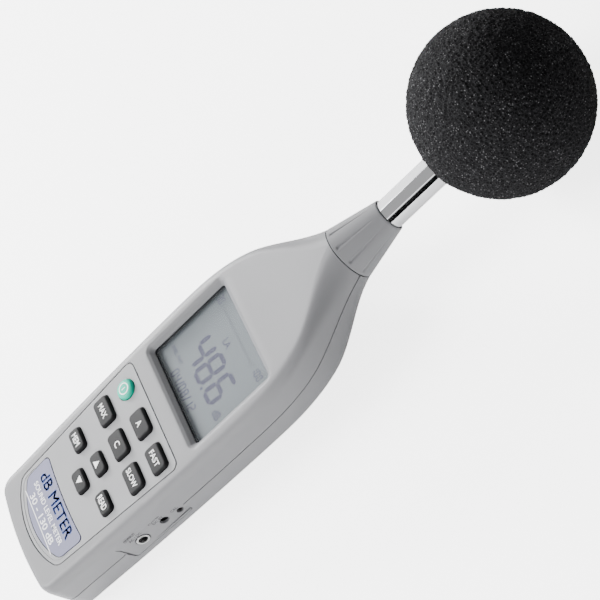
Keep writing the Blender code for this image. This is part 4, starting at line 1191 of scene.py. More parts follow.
class METER_OT_neck_cone(bpy.types.Operator):
    """Builds the cone between the case and the microphone's tube, with its tapering flutes"""

    bl_idname = "meter.neck_cone"
    bl_label = "Neck cone"

    def execute(self, context):
        settings = context.scene.meter_microphone
        low = NECK_Y + GAP / 2
        bore = TUBE_RADIUS + 0.15 * MM
        rows = 60
        profile = [(bore, SPIGOT_Y), (bore, CONE_END_Y - 0.3 * MM), (bore + 0.25 * MM, CONE_END_Y)]
        profile += [(CONE_END_RADIUS - 0.25 * MM, CONE_END_Y)]
        for row in range(rows + 1):
            y = mix(CONE_END_Y - 0.25 * MM, low + 0.25 * MM, row / rows)
            profile.append((mix(CONE_END_RADIUS, NECK_RADIUS, row / rows), y))
        profile += [(NECK_RADIUS - 0.25 * MM, low), (SPIGOT_RADIUS, low), (SPIGOT_RADIUS, SPIGOT_Y)]
        bm = turned(profile, (0.0, 0.0, AXIS_Z), "Y", 360, closed=True)
        start, end = low + 1.2 * MM, CONE_END_Y - 3.5 * MM
        for vert in bm.verts:
            x, z = vert.co.x, vert.co.z - AXIS_Z
            radius = sqrt(x * x + z * z)
            if radius < bore + 0.5 * MM or not start < vert.co.y < end:
                continue
            along = (vert.co.y - start) / (end - start)
            width = mix(*FLUTE_WIDTH, along)
            turn = atan2(x, z) / tau * settings.flutes
            across = abs(turn - floor(turn) - 0.5) / settings.flutes * tau * radius
            depth = settings.flute_depth * mix(1.0, 0.12, along) * min(ease(along, 0.0, 0.05), 1.0)
            shift = depth * (1.0 - ease(across, 0.15 * width, width))
            vert.co.x -= x / radius * shift
            vert.co.z -= z / radius * shift
        cone = mesh_object("neck_cone_piece", bm)
        piece(cone, case_plastic(), nodes=["neck_cone"], slot="case_plastic", sharp=50)
        return {"FINISHED"}


# ---------------------------------------------------------------- keypad


class METER_OT_keypad_panel(bpy.types.Operator):
    """Builds the keypad panel with softened slots for the keys and a fine line round its lower end"""

    bl_idname = "meter.keypad_panel"
    bl_label = "Keypad panel"

    def execute(self, context):
        low, top, edge = FRONT_Z - PANEL_THICK, FRONT_Z, 0.24 * MM
        panel = mesh_object("keypad_panel_piece", soft_plate(whole_panel, low, top, edge))
        cuts = [softened_cut(lambda grown: label_outline(-GAP - grown))]
        for _, x, y, width, height, *_ in KEYS:
            half, tall = width * MM / 2 + KEY_CLEARANCE, height * MM / 2 + KEY_CLEARANCE
            corner = KEY_CORNER + KEY_CLEARANCE

            def slot(grown, half=half, tall=tall, corner=corner, x=x, y=y):
                return moved(rectangle(half + grown, -tall - grown, tall + grown, corner), x * MM, y * MM)

            cuts.append(softened_cut(slot))

        def round_slot(grown):
            radius = POWER_KEY_RADIUS + KEY_CLEARANCE + grown
            turns = [tau * step / 64 for step in range(64)]
            return moved([(radius * cos(turn), radius * sin(turn)) for turn in turns], *POWER_KEY_AT)

        cuts.append(softened_cut(round_slot))
        boolean(panel, "DIFFERENCE", *cuts)
        inner, outer = whole_panel(1.75 * MM), whole_panel(1.45 * MM)
        line = mesh_object("line", stack(((outer, top - 0.16 * MM), (outer, top + 1 * MM))))
        boolean(line, "DIFFERENCE", stack(((inner, top - 1 * MM), (inner, top + 2 * MM))))
        boolean(line, "INTERSECT", box((-40 * MM, -110 * MM, 0.0), (40 * MM, -78 * MM, 40 * MM)))
        boolean(panel, "DIFFERENCE", shape_of(line))
        colour = context.scene.meter_keypad.panel
        finish = moulded("panel_plastic", colour, 0.38, grain=5200.0, strength=0.25)
        piece(panel, finish, nodes=["keypad_panel"], slot="panel", sharp=38, weighted=True)
        return {"FINISHED"}


def softened_cut(outline):
    """A cutter through the panel whose rim rounds the edge it leaves. outline takes how far it is grown."""
    edge = 0.16 * MM
    return stack(
        (
            (outline(0.0), FRONT_Z - 3 * MM),
            (outline(0.0), FRONT_Z - edge),
            (outline(edge * 0.3), FRONT_Z - edge * 0.3),
            (outline(edge * 1.3), FRONT_Z + edge * 0.3),
            (outline(edge * 1.3), FRONT_Z + 1 * MM),
        )
    )


class METER_OT_keys(bpy.types.Operator):
    """Builds the nine rubber keys with rounded top edges and printed legends"""

    bl_idname = "meter.keys"
    bl_label = "Keys"

    def execute(self, context):
        legend_ink = ink("key_legend_ink", context.scene.meter_keypad.legend)
        for name, x, y, width, height, legend, legend_width, legend_height in KEYS:
            bm = key_shape(width * MM, height * MM)
            bm.transform(Matrix.Translation((x * MM, y * MM, 0.0)))
            key = mesh_object(name + "_piece", bm)
            piece(key, key_rubber(), name, [name], "key_dark", sharp=50)
            place = Matrix.Translation((x * MM, y * MM, KEY_TOP_Z))
            if legend in ("up", "down"):
                half, tall = legend_width * MM / 2, legend_height * MM / 2
                sign = 1 if legend == "up" else -1
                triangle = [(-half, -tall * sign), (half, -tall * sign), (0.0, tall * sign)]
                mark = printed(flat_shape(triangle[::sign]), place)
            else:
                mark = lettering(legend, legend_width * MM, legend_height * MM, 0.012, place)
            piece(mesh_object(name + "_legend", mark), legend_ink, name, slot="label")
        return {"FINISHED"}


def key_shape(width, height):
    """A key about its own middle: flange, stem and a cap whose top edge is well rounded."""

    def outline(inset, corner):
        return rectangle(width / 2 - inset, inset - height / 2, height / 2 - inset, corner)

    top, edge = KEY_TOP_Z, 0.75 * MM
    flange = outline(-KEY_FLANGE_RIM, KEY_CORNER)
    stem = outline(width / 4, 0.5 * MM)
    levels = [
        (stem, KEY_STEM_Z),
        (stem, KEY_FLANGE_Z[0]),
        (flange, KEY_FLANGE_Z[0] + 0.02 * MM),
        (flange, KEY_FLANGE_Z[1] - 0.02 * MM),
        (outline(0.0, KEY_CORNER), KEY_FLANGE_Z[1]),
        (outline(0.08 * MM, KEY_CORNER), top - edge),
    ]
    for step in range(1, 8):
        turn = step / 7 * pi / 2
        inset = 0.08 * MM + edge * (1 - cos(turn))
        levels.append((outline(inset, KEY_CORNER), top - edge * (1 - sin(turn))))
    return stack(levels)


class METER_OT_power_key(bpy.types.Operator):
    """Builds the domed power key with its printed ring and bar"""

    bl_idname = "meter.power_key"
    bl_label = "Power key"

    def execute(self, context):
        radius = POWER_KEY_RADIUS
        profile = [(0.0, KEY_STEM_Z), (2.5 * MM, KEY_STEM_Z), (2.5 * MM, KEY_FLANGE_Z[0])]
        profile += [(radius + KEY_FLANGE_RIM, KEY_FLANGE_Z[0]), (radius + KEY_FLANGE_RIM, KEY_FLANGE_Z[1])]
        profile += [(radius, KEY_FLANGE_Z[1]), (radius, dome_height(radius) - 0.3 * MM)]
        steps = 14
        for step in range(steps + 1):
            r = radius * cos(step / steps * pi / 2)
            profile.append((r if step < steps else 0.0, dome_height(r)))
        bm = turned(profile, (*POWER_KEY_AT, 0.0), "Z", 72)
        colour = context.scene.meter_keypad.power
        finish = moulded(
            "power_key_rubber", colour, 0.36, 3000.0, spread=0.05, strength=0.15,
            values={"Specular IOR Level": 0.18},
        )
        piece(mesh_object("key_power_piece", bm), finish, "key_power", ["key_power"], "key_green", sharp=50)

        mark = bmesh.new()
        half, tall = 0.2 * MM, 1.05 * MM
        bar = [(-half, -tall), (half, -tall), (half, tall), (-half, tall)]
        for outline in (ring_outline(2.55 * MM, 2.05 * MM), bar):
            joined(mark, flat_shape(outline))
        bmesh.ops.triangulate(mark, faces=mark.faces[:])
        bmesh.ops.subdivide_edges(mark, edges=mark.edges[:], cuts=2, use_grid_fill=True)
        for vert in mark.verts:
            vert.co.z = dome_height(vert.co.xy.length) + 0.005 * MM
        mark = printed(mark, Matrix.Translation((*POWER_KEY_AT, 0.0)))
        mark_ink = ink("key_legend_ink", context.scene.meter_keypad.legend)
        piece(mesh_object("key_power_legend", mark), mark_ink, "key_power", slot="label", sharp=60)
        return {"FINISHED"}


def dome_height(distance):
    """Height of the power key's top at a distance from its middle."""
    share = min(distance / POWER_KEY_RADIUS, 1.0)
    return KEY_TOP_Z + 0.2 * MM - 0.35 * MM * share**2 - 0.75 * MM * share**10


def ring_outline(outer, inner, steps=48):
    """A flat ring as one outline with a hairline slit."""
    turns = [radians(0.5) + (tau - radians(1.0)) * step / steps for step in range(steps + 1)]
    outside = [(outer * sin(turn), outer * cos(turn)) for turn in turns]
    return outside + [(inner * sin(turn), inner * cos(turn)) for turn in turns[::-1]]


class METER_OT_label(bpy.types.Operator):
    """Builds the label plate with plain generic printing"""

    bl_idname = "meter.label"
    bl_label = "Label"

    def execute(self, context):
        settings = context.scene.meter_label
        low, top, edge = FRONT_Z - PANEL_THICK, FRONT_Z + 0.1 * MM, 0.08 * MM
        label = mesh_object("label_plate_piece", soft_plate(label_outline, low, top, edge))
        piece(label, label_foil(), nodes=["label_plate"], slot="label", sharp=38, weighted=True)

        def line(words, width, height, y, weight, bm=None):
            place = Matrix.Translation((0, y * MM, top))
            return lettering(words, width * MM, height * MM, weight, place, bm)

        title = bmesh.new()
        for x, y in ((-0.28, 0.0), (0.0, -0.16), (0.0, 0.16), (0.28, 0.0)):
            place = Matrix.Translation((x * MM, (y - 74.4) * MM, top))
            lettering(settings.title_text, 33.0 * MM, 5.0 * MM, 0.0, place, title)
        piece(mesh_object("label_title", title), ink("label_title_ink", settings.title), slot="label")
        words = line("SOUND LEVEL METER", 32.5, 2.4, -79.7, 0.008)
        words = line("30 - 130 dB", 26.0, 3.0, -83.6, 0.012, words)
        bars = flat_shape(rectangle(16.6 * MM, -86.15 * MM, -85.75 * MM, 0.1 * MM))
        words = printed(bars, Matrix.Translation((0.0, 0.0, top)), words)
        piece(mesh_object("label_words", words), ink("label_white_ink", (0.78, 0.78, 0.80)), slot="label")
        return {"FINISHED"}


# ---------------------------------------------------------------- display

# Which of a digit's segments are dark: top, upper and lower right, bottom, lower and upper left, middle.
DIGITS = {
    "0": "1111110", "1": "0110000", "2": "1101101", "3": "1111001", "4": "0110011",
    "5": "1011011", "6": "1011111", "7": "1110000", "8": "1111111", "9": "1111011",
}


def segment(along, across, length, stroke, upright):
    """One long hexagon of a digit, centred on (along, across)."""
    half, tip, thick = length / 2, stroke / 2, stroke / 2
    outline = [(-half, 0.0), (tip - half, thick), (half - tip, thick)]
    outline += [(half, 0.0), (half - tip, -thick), (tip - half, -thick)]
    if upright:
        outline = [(-y, x) for x, y in outline]
    return moved(outline, along, across)


def digit_outlines(digit, width, height, stroke):
    """A digit's dark segments as outlines, with its lower left corner at the origin."""
    gap = stroke * 0.12
    left, right, half = stroke / 2, width - stroke / 2, height / 2
    level, tall = width - stroke - gap, (height - stroke) / 2 - gap
    places = (
        (width / 2, height - stroke / 2, level, False), (right, half + tall / 2 + gap / 2, tall, True),
        (right, half - tall / 2 - gap / 2, tall, True), (width / 2, stroke / 2, level, False),
        (left, half - tall / 2 - gap / 2, tall, True), (left, half + tall / 2 + gap / 2, tall, True),
        (width / 2, half, level, False),
    )
    return [
        segment(x, y, length, stroke, upright)
        for (x, y, length, upright), dark in zip(places, DIGITS[digit]) if dark == "1"
    ]


def number(words, at, width, height, stroke, pitch, bm):
    """Digits, points and strokes of a display, from a lower left corner in millimetres."""
    slant = bpy.context.scene.meter_display.slant
    x, y = at
    for letter in words:
        if letter == ".":
            outlines, step = [rectangle(0.6, 0.0, 1.3, 0.1, 2)], 1.15
        elif letter == "/":
            lean = pitch * 0.55
            outlines = [[(0.0, 0.0), (stroke, 0.0), (lean, height), (lean - stroke, height)]]
            step = pitch * 0.6
        else:
            outlines, step = digit_outlines(letter, width, height, stroke), pitch
        for outline in outlines:
            leaning = [((px + x + py * slant) * MM, (py + y) * MM) for px, py in outline]
            printed(flat_shape(leaning), Matrix.Translation((0.0, 0.0, display_top())), bm)
        x += step
    return bm


def display_top():
    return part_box("lcd_glass")[1].z + 0.01 * MM


class METER_OT_display(bpy.types.Operator):
    """Builds the display: its glass, the dark segments, the clear window and the dark frame"""

    bl_idname = "meter.display"
    bl_label = "Display"

    def execute(self, context):
        settings = context.scene.meter_display
        low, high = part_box("lcd_glass")
        edge = 0.15 * MM

        def glass(inset):
            return rectangle(high.x - inset, low.y + inset, high.y - inset, 0.5 * MM)

        sheet = stack(((glass(0.0), low.z), (glass(0.0), high.z - edge), (glass(edge), high.z)))
        sheet = mesh_object("display_glass", sheet)
        piece(sheet, display_background(), nodes=["lcd_glass"], slot="display", sharp=30, weighted=True)

        marks = bmesh.new()
        for letter, x, pitch in zip(settings.reading, (-15.2, -5.5, 3.6, 5.0), (9.7, 9.1, 1.0, 9.7)):
            number(letter, (x, 5.5), 8.3, 16.0, 2.0, pitch, marks)
        number("04/08/12", (-12.8, -3.9), 2.4, 4.6, 0.6, 3.05, marks)
        number("100", (14.2, 29.4), 1.7, 3.8, 0.48, 2.25, marks)
        number("30", (-24.4, 29.4), 1.6, 3.8, 0.38, 1.95, marks)
        for words, x, y, width, height, weight in (
            ("dB", 18.4, 7.3, 4.6, 3.9, 0.012), ("LA", -3.9, 25.3, 4.4, 3.4, 0.012),
            ("FAST", -14.2, 2.75, 4.4, 2.0, 0.01), ("LEVEL", -20.3, 2.75, 5.8, 2.0, 0.01),
        ):
            place = Matrix.Translation((x * MM, y * MM, display_top()))
            lettering(words, width * MM, height * MM, weight, place, marks)
        matt = {"Specular IOR Level": 0.1}
        dark = moulded("display_segments", settings.segments, 0.4, 6000.0, 0.003 * MM, 0.08, values=matt)
        piece(mesh_object("display_marks", marks), dark, slot="display")

        ghost = bmesh.new()
        for tick in range(31):
            left, low = (-19.5 + tick * 1.07) * MM, 30.0 * MM
            right, tall = left + 0.5 * MM, (2.2 if tick % 5 == 0 else 1.3) * MM
            outline = [(left, low), (right, low), (right, low + tall), (left, low + tall)]
            printed(flat_shape(outline), Matrix.Translation((0.0, 0.0, display_top())), ghost)
        faint = [mix(a, b, 0.16) for a, b in zip(settings.background, settings.segments)]
        faint = moulded("display_faint_segments", faint, 0.4, 6000.0, 0.003 * MM, values=matt)
        piece(mesh_object("display_scale", ghost), faint, slot="display")

        low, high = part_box("window_lens")
        edge = 0.2 * MM

        def lens(inset):
            return rectangle(LENS_HALF - inset, LENS_Y[0] + inset, LENS_Y[1] - inset, 0.8 * MM)

        levels = ((edge, low.z), (0.0, low.z + edge), (0.0, high.z - edge), (edge, high.z))
        window = mesh_object("window_lens_piece", stack([(lens(inset), z) for inset, z in levels]))
        piece(window, lens_plastic(), nodes=["window_lens"], slot="clear", sharp=30)
        smooth_copy("lens_gasket", moulded("gasket_rubber", (0.02, 0.02, 0.022), 0.7), slot="rubber")
        smooth_copy("lcd_holder", black_plastic(), slot="black_plastic", edge=0.15 * MM)
        return {"FINISHED"}


# ---------------------------------------------------------------- sides and back


class METER_OT_side_sockets(bpy.types.Operator):
    """Builds the jack's ring, the sockets behind the side holes, the trimmer and the small printing"""

    bl_idname = "meter.side_sockets"
    bl_label = "Side sockets"

    def execute(self, context):
        inner, outer = JACK_RING
        low, high, edge = 30.6 * MM, SIDE_X + 0.35 * MM, 0.22 * MM
        profile = [(inner, low), (outer, low), (outer, high - edge)]
        turns = (0.0, pi / 6, pi / 3, pi / 2)
        profile += [(outer - edge * (1 - cos(t)), high - edge * (1 - sin(t))) for t in turns[1:]]
        profile += [(inner + edge * (1 - sin(t)), high - edge * (1 - cos(t))) for t in turns]
        ring = turned(profile, (0.0, *JACK_AT), "X", 64, closed=True)
        piece(mesh_object("jack_ring_piece", ring), steel(), nodes=["jack_ring"], slot="steel", sharp=40)
        for name in ("jack_socket", "power_socket", "trimmer_body"):
            smooth_copy(name, black_plastic(), slot="black_plastic")
        smooth_copy("trimmer_rotor", brass(), "trimmer", "brass", edge=0.08 * MM)

        grey = ink("side_print_ink", (0.022, 0.022, 0.024))
        words = bmesh.new()
        for text, y, z, width in (
            ("OUTPUT", -53.0, 20.9, 6.4), ("AC / DC", -51.9, 18.7, 6.8), ("POWER", -41.0, 18.8, 6.0),
            ("DC 6V", -40.2, 16.9, 5.4), ("CAL", -32.6, 14.9, 3.4),
        ):
            place = Matrix.Translation((SIDE_X, y * MM, z * MM)) @ FACING_X
            lettering(text, width * MM, 1.5 * MM, 0.012, place, words)
        piece(mesh_object("side_words", words), grey, slot="label")
        return {"FINISHED"}


class METER_OT_fasteners(bpy.types.Operator):
    """Builds the four cross-head case screws and the threaded tripod bush"""

    bl_idname = "meter.fasteners"
    bl_label = "Screws and tripod bush"

    def execute(self, context):
        seat = SCREW_SEAT_Z - GAP
        face = seat - 1.9 * MM
        for index, (x, y) in enumerate(SCREWS):
            profile = [(0.0, face), (SCREW_HEAD - 0.9 * MM, face)]
            profile += [
                (SCREW_HEAD - 0.9 * MM * (1 - sin(turn)), face + 0.9 * MM * (1 - cos(turn)))
                for turn in (pi / 8, pi / 4, 3 * pi / 8, pi / 2)
            ]
            profile += [(SCREW_HEAD, seat), (SCREW_SHANK, seat), (SCREW_SHANK, SCREW_END_Z - 1.2 * MM)]
            profile += [(0.3 * MM, SCREW_END_Z), (0.0, SCREW_END_Z)]
            name = f"case_screw_{index + 1}"
            screw = mesh_object(name + "_piece", turned(profile, (x, y, 0.0), "Z", 48))
            cross = [
                box((x - a, y - b, 0.0), (x + a, y + b, seat - 0.8 * MM))
                for a, b in ((0.33 * MM, 1.6 * MM), (1.6 * MM, 0.33 * MM))
            ]
            boolean(screw, "DIFFERENCE", *cross)
            piece(screw, steel(), nodes=[name], slot="steel", sharp=40)

        low, high, edge = 0.05 * MM, BUSH_TOP_Z, 0.3 * MM
        pitch, depth = 1.27 * MM, 0.45 * MM
        profile = [(BUSH_RADIUS, high), (BUSH_RADIUS, low + edge), (BUSH_RADIUS - edge, low)]
        profile += [(BUSH_HOLE + depth + edge, low), (BUSH_HOLE + depth, low + edge)]
        turns = int((high - low - 2 * edge) / pitch)
        for turn in range(turns):
            start = low + edge + turn * pitch
            profile += [(BUSH_HOLE, start + pitch * 0.45), (BUSH_HOLE, start + pitch * 0.55)]
            profile += [(BUSH_HOLE + depth, start + pitch * 0.98)]
        profile += [(BUSH_HOLE + depth, high)]
        bush = mesh_object("tripod_bush_piece", turned(profile, (0.0, BUSH_Y, 0.0), "Z", 72, closed=True))
        piece(bush, brass(), nodes=["tripod_bush"], slot="brass", sharp=30)
        return {"FINISHED"}


class METER_OT_battery_bay(bpy.types.Operator):
    """Builds the battery holder, the four cells, their springs and contact plates"""

    bl_idname = "meter.battery_bay"
    bl_label = "Battery bay"

    def execute(self, context):
        smooth_copy("battery_holder", case_plastic(), slot="case_plastic")
        for index in range(1, 5):
            smooth_copy(f"battery_{index}", cell_jacket(), slot="cell_jacket", sharp=40)
            smooth_copy(f"battery_spring_{index}", steel(), slot="steel", sharp=60)
        for name in ("tail_left", "tail_right", "head_left", "head_middle", "head_right"):
            smooth_copy(f"contact_{name}", steel(), slot="steel", edge=0.1 * MM)
        return {"FINISHED"}


class METER_OT_inside(bpy.types.Operator):
    """Gives the boards, chips, key mat and the microphone's lead their finishes"""

    bl_idname = "meter.inside"
    bl_label = "Inside parts"

    def execute(self, context):
        rubber = moulded("grey_silicone", (0.10, 0.10, 0.105), 0.62)
        finishes = {
            "main_board": (board_laminate(), "board"),
            "preamp_board": (board_laminate(), "board"),
            "controller_chip": (black_plastic(), "black_plastic"),
            "level_chip": (black_plastic(), "black_plastic"),
            "clock_crystal": (steel(), "steel"),
            "key_mat": (rubber, "rubber"),
            "lcd_connector": (rubber, "rubber"),
            "mic_lead": (rubber, "rubber"),
            "mic_insulator": (black_plastic(), "black_plastic"),
            "tube_nut": (brass(), "brass"),
        }
        for name, (finish, slot) in finishes.items():
            smooth_copy(name, finish, slot=slot)
        return {"FINISHED"}


# ---------------------------------------------------------------- microphone


class METER_OT_microphone(bpy.types.Operator):
    """Builds the plated tube, the microphone capsule and its slotted grid"""

    bl_idname = "meter.microphone"
    bl_label = "Microphone"

    def execute(self, context):
        bore, outer, edge = TUBE_RADIUS - TUBE_WALL, TUBE_RADIUS, 0.2 * MM
        low, high = TUBE_Y
        profile = [(bore, low), (outer, low), (outer, high - edge), (outer - edge, high), (bore, high)]
        tube = turned(profile, (0.0, 0.0, AXIS_Z), "Y", 160, closed=True)
        piece(mesh_object("mic_tube_piece", tube), chrome(), nodes=["mic_tube"], slot="chrome", sharp=35)

        low, end = TUBE_Y[1] + GAP, CAPSULE_END_Y
        capsule = (
            (0.0, low), (outer - edge, low), (outer, low + edge), (outer, low + 2.1 * MM),
            (outer - 0.4 * MM, low + 2.4 * MM), (outer - 0.4 * MM, low + 3.0 * MM), (outer, low + 3.3 * MM),
            (outer, end - edge), (outer - edge, end), (5.4 * MM, end), (5.4 * MM, end - 1.0 * MM),
            (0.0, end - 1.0 * MM),
        )
        capsule = mesh_object("mic_capsule_piece", turned(capsule, (0.0, 0.0, AXIS_Z), "Y", 120))
        piece(capsule, chrome(), nodes=["mic_capsule"], slot="chrome", sharp=30)

        low, end, wall = CAPSULE_END_Y + GAP, GRID_END_Y, 0.6 * MM
        cap = 0.8 * MM
        grid = [(0.0, end - cap), (outer - wall, end - cap), (outer - wall, low), (outer, low)]
        grid += [(outer, end - cap)]
        grid += [(outer - cap * (1 - cos(t)), end - cap * (1 - sin(t))) for t in (pi / 6, pi / 3, pi / 2)]
        grid += [(0.0, end)]
        grid = mesh_object("mic_grid_piece", turned(grid, (0.0, 0.0, AXIS_Z), "Y", 120))
        cuts = []
        slots = 8
        for index in range(slots):
            cut = box((1.4 * MM, -0.4 * MM, -2 * MM), (4.6 * MM, 0.4 * MM, 1 * MM), 0.39 * MM, along=2)
            turn = Matrix.Rotation(-pi / 2, 4, "X") @ Matrix.Rotation(tau * (index + 0.5) / slots, 4, "Z")
            cut.transform(Matrix.Translation((0.0, end, AXIS_Z)) @ turn)
            cuts.append(cut)
        boolean(grid, "DIFFERENCE", *cuts)
        piece(grid, chrome(), nodes=["mic_grid"], slot="chrome", sharp=35)
        return {"FINISHED"}


class METER_OT_windscreen(bpy.types.Operator):
    """Builds the foam ball: a sphere with a bore, its whole surface broken up by open pores"""

    bl_idname = "meter.windscreen"
    bl_label = "Windscreen"

    def execute(self, context):
        settings = context.scene.meter_windscreen
        radius = settings.radius
        mouth = SCREEN_BORE / radius
        rows, steps = 250, 480
        start = pi - 1.03 * mouth
        profile = [(0.0, SCREEN_END_Y - SCREEN_Y), (SCREEN_BORE - 1.0 * MM, SCREEN_END_Y - SCREEN_Y)]
        inner_low = -radius * cos(mouth) + 1.2 * MM
        for step in range(21):
            profile.append((SCREEN_BORE, mix(SCREEN_END_Y - SCREEN_Y - 1.0 * MM, inner_low, step / 20)))
        for row in range(rows + 1):
            turn = start * (1 - row / rows)
            profile.append((radius * sin(turn) if row < rows else 0.0, radius * cos(turn)))
        bm = turned(profile, (0.0, SCREEN_Y, AXIS_Z), "Y", steps)
        centre = Vector((0.0, SCREEN_Y, AXIS_Z))
        for vert in bm.verts:
            out = vert.co - centre
            reach = sqrt(out.x**2 + out.z**2)
            if out.length > radius - 1.5 * MM:
                vert.co.x += SCREEN_SIDE * ease(reach, SCREEN_BORE, 16 * MM) if out.y < 0 else SCREEN_SIDE
                place = vert.co / settings.pore
                near, further = noise.voronoi(place)[0][:2]
                pit = ease(further - near, 0.0, 0.45)
                rough = noise.noise(place * 1.1) * 0.45 + noise.noise(place * 1.9) * 0.6
                lift = settings.fuzz * (rough - 0.6 * pit + 0.45)
                vert.co += out.normalized() * lift
        ball = piece(
            mesh_object("windscreen_foam", bm), foam(), "windscreen", ["windscreen"], "foam", sharp=180
        )
        return {"FINISHED"}


# ---------------------------------------------------------------- stage


def card(name, centre, target, width, height, finish):
    """A flat card that faces a point and shows only in reflections."""
    bm = bmesh.new()
    bmesh.ops.create_grid(bm, x_segments=1, y_segments=1, size=0.5)
    turn = (Vector(target) - Vector(centre)).to_track_quat("Z", "Y").to_matrix().to_4x4()
    bm.transform(Matrix.Translation(centre) @ turn @ Matrix.Diagonal((width, height, 1.0, 1.0)))
    obj = mesh_object(name, bm)
    obj.data.materials.append(finish)
    obj.visible_camera = False
    obj.visible_diffuse = False
    obj.visible_shadow = False
    obj.visible_transmission = False


def lamp(name, place, target, size, power):
    """A square soft light that faces a point."""
    light = bpy.data.lights.new(name, "AREA")
    light.size = size
    light.energy = power
    obj = bpy.data.objects.new(name, light)
    obj.location = place
    obj.rotation_mode = "QUATERNION"
    obj.rotation_quaternion = (Vector(target) - Vector(place)).to_track_quat("-Z", "Y")
    bpy.context.scene.collection.objects.link(obj)


def floor_finish(colour):
    """Pale paper seen from above. Seen from below it is clear, so that the back can be looked at."""
    made, tree, shader = new_material("floor_paper", {
        "Roughness": 0.9, "Specular IOR Level": 0.1, "Emission Color": (1.0, 1.0, 1.0, 1.0),
    })
    fibres = node(tree, "ShaderNodeTexNoise", {"Scale": 60.0, "Detail": 4.0})
    on_object(tree, fibres)
    tree.links.new(toned(tree, colour, fibres.outputs["Fac"], 0.01), shader.inputs["Base Color"])
    clear = node(tree, "ShaderNodeBsdfTransparent")
    path = node(tree, "ShaderNodeLightPath")
    side = node(tree, "ShaderNodeNewGeometry")
    glow = math_node(tree, "MULTIPLY", path.outputs["Is Camera Ray"], FLOOR_GLOW)
    tree.links.new(glow, shader.inputs["Emission Strength"])
    away = math_node(tree, "MAXIMUM", side.outputs["Backfacing"], path.outputs["Is Shadow Ray"])
    both = node(tree, "ShaderNodeMixShader")
    tree.links.new(away, both.inputs[0])
    tree.links.new(shader.outputs[0], both.inputs[1])
    tree.links.new(clear.outputs[0], both.inputs[2])
    tree.links.new(both.outputs[0], tree.nodes["Material Output"].inputs["Surface"])
    return made


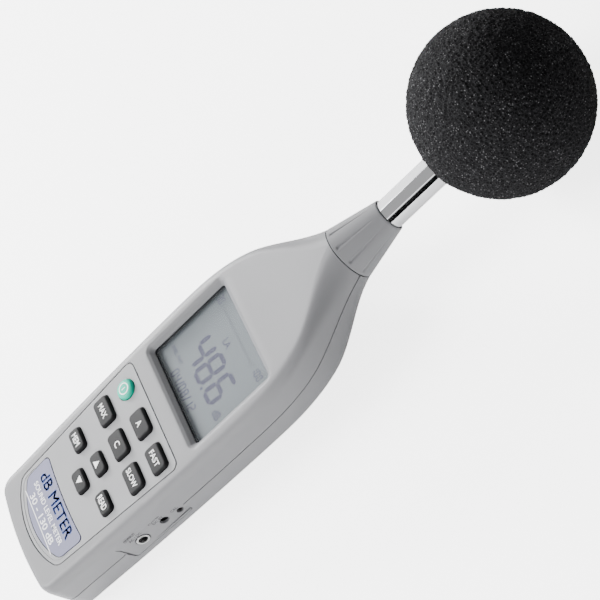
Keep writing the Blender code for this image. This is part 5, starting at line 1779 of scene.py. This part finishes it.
class METER_OT_stage(bpy.types.Operator):
    """Builds the floor, the soft lights and the camera"""

    bl_idname = "meter.stage"
    bl_label = "Stage"

    def execute(self, context):
        settings = context.scene.meter_stage
        radius = context.scene.meter_windscreen.radius
        ball = Vector((0.0, SCREEN_Y, AXIS_Z))
        heel = Vector((0.0, TAIL_Y + 3.0 * MM, 1.0 * MM))
        run = ball - heel
        tilt = atan2(run.z, run.y) - atan2(radius, sqrt(run.length_squared - radius**2))
        bm = bmesh.new()
        bmesh.ops.create_grid(bm, x_segments=1, y_segments=1, size=4.0)
        bm.transform(Matrix.Translation(heel - Vector((0, 0, 0.4 * MM))) @ Matrix.Rotation(tilt, 4, "X"))
        ground = mesh_object("floor", bm)
        ground.data.materials.append(floor_finish(settings.floor))

        world = bpy.data.worlds.new("studio")
        world.use_nodes = True
        sky = world.node_tree
        place = node(sky, "ShaderNodeTexCoord")
        axes = node(sky, "ShaderNodeSeparateXYZ")
        sky.links.new(place.outputs["Generated"], axes.inputs["Vector"])
        fall = node(sky, "ShaderNodeMapRange", {
            "From Min": -0.9, "From Max": 0.9, "To Min": SKY_STRENGTH[0], "To Max": SKY_STRENGTH[1],
        })
        sky.links.new(axes.outputs["Y"], fall.inputs["Value"])
        sky.links.new(fall.outputs["Result"], sky.nodes["Background"].inputs["Strength"])
        sky.nodes["Background"].inputs["Color"].default_value = (1.0, 1.0, 1.0, 1.0)
        context.scene.world = world

        lamp("key_light", (-0.45, -1.0, 1.25), MIDDLE, 1.1, 58.0)
        lamp("edge_light", (-1.15, -0.55, 0.50), MIDDLE, 0.35, 32.0)
        lamp("side_light", (1.15, -0.85, 0.30), MIDDLE, 1.0, 36.0)
        lamp("under_light", (0.0, 0.0, -1.3), MIDDLE, 1.6, 10.0)
        unlit = {"Base Color": (0.0, 0.0, 0.0, 1.0), "Roughness": 1.0}
        black, _, _ = new_material("black_card", {**unlit, "Specular IOR Level": 0.0})
        tube = Vector((0.0, 0.13, AXIS_Z))
        card("dark_card", tube + Vector((0.84, -0.36, 0.20)), tube, 1.4, 0.56, black)
        lit = {"Emission Color": (1.0, 1.0, 1.0, 1.0), "Emission Strength": CARD_GLOW}
        glow, _, _ = new_material("white_card", {**unlit, **lit})
        card("side_card", tube + Vector((-0.80, -0.36, 0.52)), tube, 1.4, 1.15, glow)
        card("strip_card", tube + Vector((0.62, -0.36, 0.52)), tube, 1.4, 0.06, glow)

        camera = bpy.data.objects.new("camera", bpy.data.cameras.new("camera"))
        camera.data.lens = LENS_LENGTH
        camera.data.sensor_width = SENSOR_WIDTH
        camera.data.clip_start = 0.01
        a, e = settings.azimuth, settings.elevation
        back = Vector((sin(a) * cos(e), -cos(a) * cos(e), sin(e)))
        level_right = Vector((cos(a), sin(a), 0.0))
        level_up = back.cross(level_right)
        up = level_up * cos(settings.roll) + level_right * sin(settings.roll)
        right = up.cross(back)
        turn = Matrix((right, up, back)).transposed().to_4x4()
        camera.matrix_world = Matrix.Translation(Vector(LOOKED_AT) + back * settings.distance) @ turn
        context.scene.collection.objects.link(camera)
        context.scene.camera = camera
        return {"FINISHED"}


# ---------------------------------------------------------------- panel and running


OPERATORS = (
    METER_OT_front_case,
    METER_OT_rear_case,
    METER_OT_battery_cover,
    METER_OT_neck_cone,
    METER_OT_keypad_panel,
    METER_OT_keys,
    METER_OT_power_key,
    METER_OT_label,
    METER_OT_display,
    METER_OT_side_sockets,
    METER_OT_fasteners,
    METER_OT_battery_bay,
    METER_OT_inside,
    METER_OT_microphone,
    METER_OT_windscreen,
    METER_OT_stage,
)


class METER_PT_sidebar(bpy.types.Panel):
    """Lists the meter's settings and the operators that build its pieces"""

    bl_idname = "METER_PT_sidebar"
    bl_label = "Sound Level Meter"
    bl_space_type = "VIEW_3D"
    bl_region_type = "UI"
    bl_category = "Sound Meter"

    def draw(self, context):
        for name, settings in SETTINGS.items():
            box_layout = self.layout.box()
            for field in settings.__annotations__:
                box_layout.prop(getattr(context.scene, name), field)
        for operator in OPERATORS:
            self.layout.operator(operator.bl_idname)


CLASSES = (*SETTINGS.values(), *OPERATORS, METER_PT_sidebar)


def register():
    for cls in CLASSES:
        bpy.utils.register_class(cls)
    for name, settings in SETTINGS.items():
        setattr(bpy.types.Scene, name, PointerProperty(type=settings))


def unregister():
    for name in SETTINGS:
        delattr(bpy.types.Scene, name)
    for cls in reversed(CLASSES):
        bpy.utils.unregister_class(cls)


def main():
    register()
    for operator in OPERATORS:
        family, name = operator.bl_idname.split(".")
        getattr(getattr(bpy.ops, family), name)()


if __name__ == "__main__":
    main()
